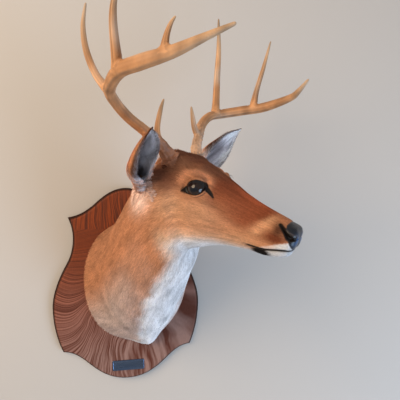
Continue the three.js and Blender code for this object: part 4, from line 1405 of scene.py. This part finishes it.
def build_plate():
    """A thin, bare metal plate with rounded corners and a rolled edge."""
    half = PLATE_SIZE / 2
    turn = np.linspace(0, np.pi / 2, PLATE_CORNER_POINTS)
    arcs = []
    for i, quarter in enumerate([(1, 1), (-1, 1), (-1, -1), (1, -1)]):
        a = turn + i * np.pi / 2
        centre = np.array(quarter) * (half - PLATE_CORNER)
        arcs.append(centre + PLATE_CORNER * np.c_[np.cos(a), np.sin(a)])
    outline = np.concatenate(arcs)
    rings = []
    for off, out in PLATE_EDGE:
        ring = outline * (1 - off / half)
        rings.append(np.c_[ring[:, 0], np.full(len(ring), -out), ring[:, 1] + PLATE_AT])
    plate = closed("name_plate", np.array(rings)[:, ::-1])
    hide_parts("plate")
    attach(plate, "root")
    return plate


shield = build_shield()
plate = build_plate()


# ---------------------------------------------------------------- materials
class Finish:
    """A material whose nodes are added by short calls."""

    def __init__(self, name, roughness, metallic=0.0):
        self.material = bpy.data.materials.new(name)
        self.material.use_nodes = True
        self.tree = self.material.node_tree
        self.shader = self.tree.nodes["Principled BSDF"]
        self.shader.inputs["Roughness"].default_value = roughness
        self.shader.inputs["Metallic"].default_value = metallic

    def node(self, kind, **values):
        made = self.tree.nodes.new(kind)
        for name, value in values.items():
            if name in made.inputs:
                made.inputs[name].default_value = value
            else:
                setattr(made, name, value)
        return made

    def link(self, source, target):
        self.tree.links.new(source, target)

    def attribute(self, name, output="Color"):
        return self.node("ShaderNodeAttribute", attribute_name=name).outputs[output]

    def place(self, scale=(1, 1, 1)):
        """Places in the object, in metres, stretched by scale."""
        spot = self.node("ShaderNodeTexCoord").outputs["Object"]
        mapping = self.node("ShaderNodeMapping")
        mapping.inputs["Scale"].default_value = scale
        self.link(spot, mapping.inputs["Vector"])
        return mapping.outputs["Vector"]

    def noise(self, scale, detail, stretch=(1, 1, 1), at=None):
        """Noise in the object, stretched, or at places that other nodes work out."""
        made = self.node("ShaderNodeTexNoise", Scale=scale, Detail=detail)
        self.link(at or self.place(stretch), made.inputs["Vector"])
        return made.outputs["Fac"]

    def levels(self, source, low, high, start=0.0, end=1.0):
        """A source's values from start to end, brought to the values from low to high."""
        made = self.node("ShaderNodeMapRange")
        for name, value in (("From Min", start), ("From Max", end), ("To Min", low), ("To Max", high)):
            made.inputs[name].default_value = value
        self.link(source, made.inputs["Value"])
        return made.outputs["Result"]

    def math(self, operation, a, b=0.0):
        made = self.node("ShaderNodeMath", operation=operation)
        for socket, value in zip(made.inputs, (a, b)):
            if isinstance(value, (int, float)):
                socket.default_value = value
            else:
                self.link(value, socket)
        return made.outputs[0]

    def blend(self, a, b, factor, how="MIX"):
        made = self.node("ShaderNodeMix", data_type="RGBA", blend_type=how)
        for socket, value in ((made.inputs["Factor"], factor), (made.inputs[6], a), (made.inputs[7], b)):
            if isinstance(value, bpy.types.NodeSocket):
                self.link(value, socket)
            elif isinstance(value, (int, float)):
                socket.default_value = value
            else:
                socket.default_value = (*value, 1)
        return made.outputs[2]

    def colour(self, source):
        self.link(source, self.shader.inputs["Base Color"])

    def roughness(self, source):
        self.link(source, self.shader.inputs["Roughness"])

    def bump(self, source, strength, distance):
        made = self.node("ShaderNodeBump", Strength=strength, Distance=distance)
        self.link(source, made.inputs["Height"])
        self.link(made.outputs["Normal"], self.shader.inputs["Normal"])

    def dress(self, *objects):
        for obj in objects:
            obj.data.materials.clear()
            obj.data.materials.append(self.material)


def hide_finish():
    made = Finish("hide", 0.8)
    shade = made.levels(made.noise(260, 3), 0.78, 1.18)
    made.colour(made.blend(made.attribute("coat"), shade, 1.0, "MULTIPLY"))
    wet = made.attribute("wet", "Fac")
    made.roughness(made.levels(wet, 0.85, 0.28))
    made.link(made.levels(wet, 0.15, 0.38), made.shader.inputs["Specular IOR Level"])
    made.bump(made.noise(900, 2), 0.35, 0.0006)
    return made


def bone_finish():
    made = Finish("bone", 0.42)
    made.shader.inputs["Specular IOR Level"].default_value = 0.28
    shade = made.levels(made.noise(90, 5, (1, 1, 0.4)), 0.75, 1.2)
    made.colour(made.blend(made.attribute("bone"), shade, 1.0, "MULTIPLY"))
    made.roughness(made.levels(made.noise(160, 3), 0.34, 0.62))
    made.bump(made.noise(420, 4, (1, 1, 0.35)), 0.5, 0.0008)
    return made


def glass_finish():
    made = Finish("eye_glass", 0.03)
    made.colour(made.attribute("glass"))
    made.shader.inputs["Specular IOR Level"].default_value = 0.45
    return made


OAK_RED, OAK_BROWN, OAK_SHEEN = (0.37, 0.088, 0.032), (0.24, 0.056, 0.022), (0.31, 0.185, 0.155)
OAK_LINE, OAK_EDGE = (0.115, 0.038, 0.025), (0.030, 0.012, 0.008)
# The course of the grain, in metres: its unevenness, where and how much it sags, where it fans out from and
# how wide, the height where upright grain takes over, how fast, and how fast the grain changes along itself.
GRAIN = {
    "wander": 0.05, "sag_at": 0.145, "sag": 9.0, "fan_x": 0.02, "fan_z": 0.015, "fan_wide": 0.13,
    "upright_from": 0.04, "upright_rate": 9.0, "along": 0.02,
}
# Painted sheen: the wood is painted greyer towards the lower right, where the cool window light glances off
# it. How it slants across the board, where it starts and how fast.
GREY = {"slant": 0.45, "from": 0.16, "rate": 3.2}


def wood_finish():
    """Stained oak, whose grain runs up the board's top, sags at its left and fans out below the neck,
    painted greyer towards the lower right as a sheen of the window light.
    """
    made = Finish("stained_oak", 0.5)
    made.shader.inputs["Specular IOR Level"].default_value = 0.06
    spot = made.node("ShaderNodeSeparateXYZ")
    made.link(made.node("ShaderNodeTexCoord").outputs["Object"], spot.inputs[0])
    sideways, height = spot.outputs["X"], spot.outputs["Z"]
    wander = made.math("MULTIPLY", made.math("SUBTRACT", made.noise(9, 2), 0.5), GRAIN["wander"])
    x = made.math("ADD", sideways, wander)
    sag = made.math("POWER", made.math("ABSOLUTE", made.math("ADD", x, GRAIN["sag_at"])), 2.0)
    z = made.math("SUBTRACT", height, made.math("MULTIPLY", sag, GRAIN["sag"]))
    fan_up, fan_along = made.math("ADD", z, GRAIN["fan_z"]), made.math("SUBTRACT", x, GRAIN["fan_x"])
    fan = made.math("ARCTAN2", fan_up, fan_along)
    above = made.math("ADD", height, -GRAIN["upright_from"])
    upright = made.levels(made.math("MULTIPLY", above, GRAIN["upright_rate"]), 0.0, 1.0)
    across = made.node("ShaderNodeMix", data_type="FLOAT")
    made.link(upright, across.inputs["Factor"])
    made.link(made.math("MULTIPLY", fan, GRAIN["fan_wide"]), across.inputs[2])
    made.link(x, across.inputs[3])
    grain_place = made.node("ShaderNodeCombineXYZ")
    made.link(across.outputs[0], grain_place.inputs["X"])
    made.link(made.math("MULTIPLY", height, GRAIN["along"]), grain_place.inputs["Z"])
    lines = made.noise(400.0, 3.0, at=grain_place.outputs[0])
    broad = made.noise(55.0, 2.0, at=grain_place.outputs[0])
    pores = made.noise(420, 2, (1, 1, 0.25))
    grain = made.levels(lines, 0.0, 1.0, start=0.40, end=0.62)
    # Painted sheen of the window light: greyer towards the lower right.
    aslant = made.math("SUBTRACT", height, made.math("MULTIPLY", sideways, GREY["slant"]))
    grey_from = made.math("ADD", aslant, GREY["from"])
    painted_sheen = made.levels(made.math("MULTIPLY", grey_from, GREY["rate"]), 1.0, 0.0)
    base = made.blend(made.blend(OAK_RED, OAK_BROWN, broad), OAK_SHEEN, painted_sheen)
    lined = made.blend(OAK_LINE, base, grain)
    speckled = made.blend(lined, made.levels(pores, 0.7, 1.15), 0.8, "MULTIPLY")
    made.colour(made.blend(speckled, OAK_EDGE, made.attribute("edge", "Fac")))
    made.roughness(made.levels(lines, 0.40, 0.6))
    made.bump(grain, 0.3, 0.0004)
    return made


METAL_DARK, METAL_LIGHT = (0.06, 0.10, 0.18), (0.13, 0.18, 0.28)


def metal_finish():
    made = Finish("blued_metal", 0.22, 0.9)
    brushed = made.noise(300, 3, (0.05, 1, 1))
    made.colour(made.blend(METAL_DARK, METAL_LIGHT, brushed))
    made.roughness(made.levels(brushed, 0.16, 0.34))
    return made


hide_finish().dress(skin, *coat)
bone_finish().dress(*antlers)
glass_finish().dress(*eyes)
wood_finish().dress(shield)
metal_finish().dress(plate)
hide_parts("nose", "lower_jaw", "head", "neck", "shoulder", "ear_right", "ear_left")
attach(skin, "root")

# ---------------------------------------------------------------- wall, floor, light and camera
CAMERA_AT = np.array([4.0, -1117.0, 321.0])
CAMERA_YAW, CAMERA_PITCH = 9.85 * DEG, 5.09 * DEG
SENSOR, LENS = 36, 37.8
WALL_AT, ROOM_HALF, ROOM_DEEP, FLOOR_AT, ROOM_TOP = 2, 4000, -5000, -1600, 3000
WALL_PAINT = (0.53, 0.505, 0.475)
SKY, SKY_STRENGTH = (0.95, 0.96, 1.0), 0.45
# Round area lights, in metres and watts.
LIGHTS = [
    {"name": "key", "at": (-1.5, -1.7, 1.1), "target": (0.0, -0.3, 0.1),
     "size": 1.8, "power": 56, "colour": (1.0, 0.77, 0.53)},
    {"name": "window", "at": (1.7, -1.6, -0.9), "target": (0.1, -0.3, 0.0),
     "size": 1.4, "power": 36, "colour": (0.54, 0.74, 1.0)},
]


def build_camera():
    """The camera, turned right by its yaw and down by its pitch."""
    yaw, pitch = CAMERA_YAW, CAMERA_PITCH
    ahead = Vector((np.sin(yaw) * np.cos(pitch), np.cos(yaw) * np.cos(pitch), -np.sin(pitch)))
    right = Vector((np.cos(yaw), -np.sin(yaw), 0))
    up = right.cross(ahead)
    data = bpy.data.cameras.new("camera")
    data.sensor_width, data.lens = SENSOR, LENS
    camera = bpy.data.objects.new("camera", data)
    bpy.context.scene.collection.objects.link(camera)
    turn = Matrix((right, up, -ahead)).transposed().to_4x4()
    camera.matrix_world = Matrix.Translation(Vector(CAMERA_AT) * MM) @ turn
    bpy.context.scene.camera = camera


def area_light(name, at, target, size, power, colour):
    data = bpy.data.lights.new(name, "AREA")
    data.shape, data.size, data.energy, data.color = "DISK", size, power, colour
    lamp = bpy.data.objects.new(name, data)
    bpy.context.scene.collection.objects.link(lamp)
    lamp.location = at
    lamp.rotation_euler = (Vector(target) - Vector(at)).to_track_quat("-Z", "Y").to_euler()


def sheet(name, first, last):
    """A rectangle across the room, between the y and z of its first edge and of its last."""
    corners = [(-ROOM_HALF, *first), (ROOM_HALF, *first), (ROOM_HALF, *last), (-ROOM_HALF, *last)]
    return make_object(name, corners, [[0, 1, 2, 3]])


def build_stage():
    """A pale wall that shows only its front, a pale floor, a grey sky and the lights."""
    wall = sheet("wall", (WALL_AT, FLOOR_AT), (WALL_AT, ROOM_TOP))
    floor = sheet("floor", (ROOM_DEEP, FLOOR_AT), (WALL_AT, FLOOR_AT))
    paper = Finish("wall_paint", 0.9)
    paper.shader.inputs["Base Color"].default_value = (*WALL_PAINT, 1)
    clear = paper.node("ShaderNodeBsdfTransparent")
    either = paper.node("ShaderNodeMixShader")
    behind = paper.node("ShaderNodeNewGeometry").outputs["Backfacing"]
    paper.link(behind, either.inputs["Fac"])
    paper.link(paper.shader.outputs[0], either.inputs[1])
    paper.link(clear.outputs[0], either.inputs[2])
    paper.link(either.outputs[0], paper.tree.nodes["Material Output"].inputs["Surface"])
    paper.dress(wall, floor)
    world = bpy.data.worlds.new("studio")
    world.use_nodes = True
    sky = world.node_tree.nodes["Background"]
    sky.inputs["Color"].default_value = (*SKY, 1)
    sky.inputs["Strength"].default_value = SKY_STRENGTH
    bpy.context.scene.world = world
    for light in LIGHTS:
        area_light(**light)
    bpy.context.scene.view_settings.view_transform = "Standard"


build_camera()
build_stage()
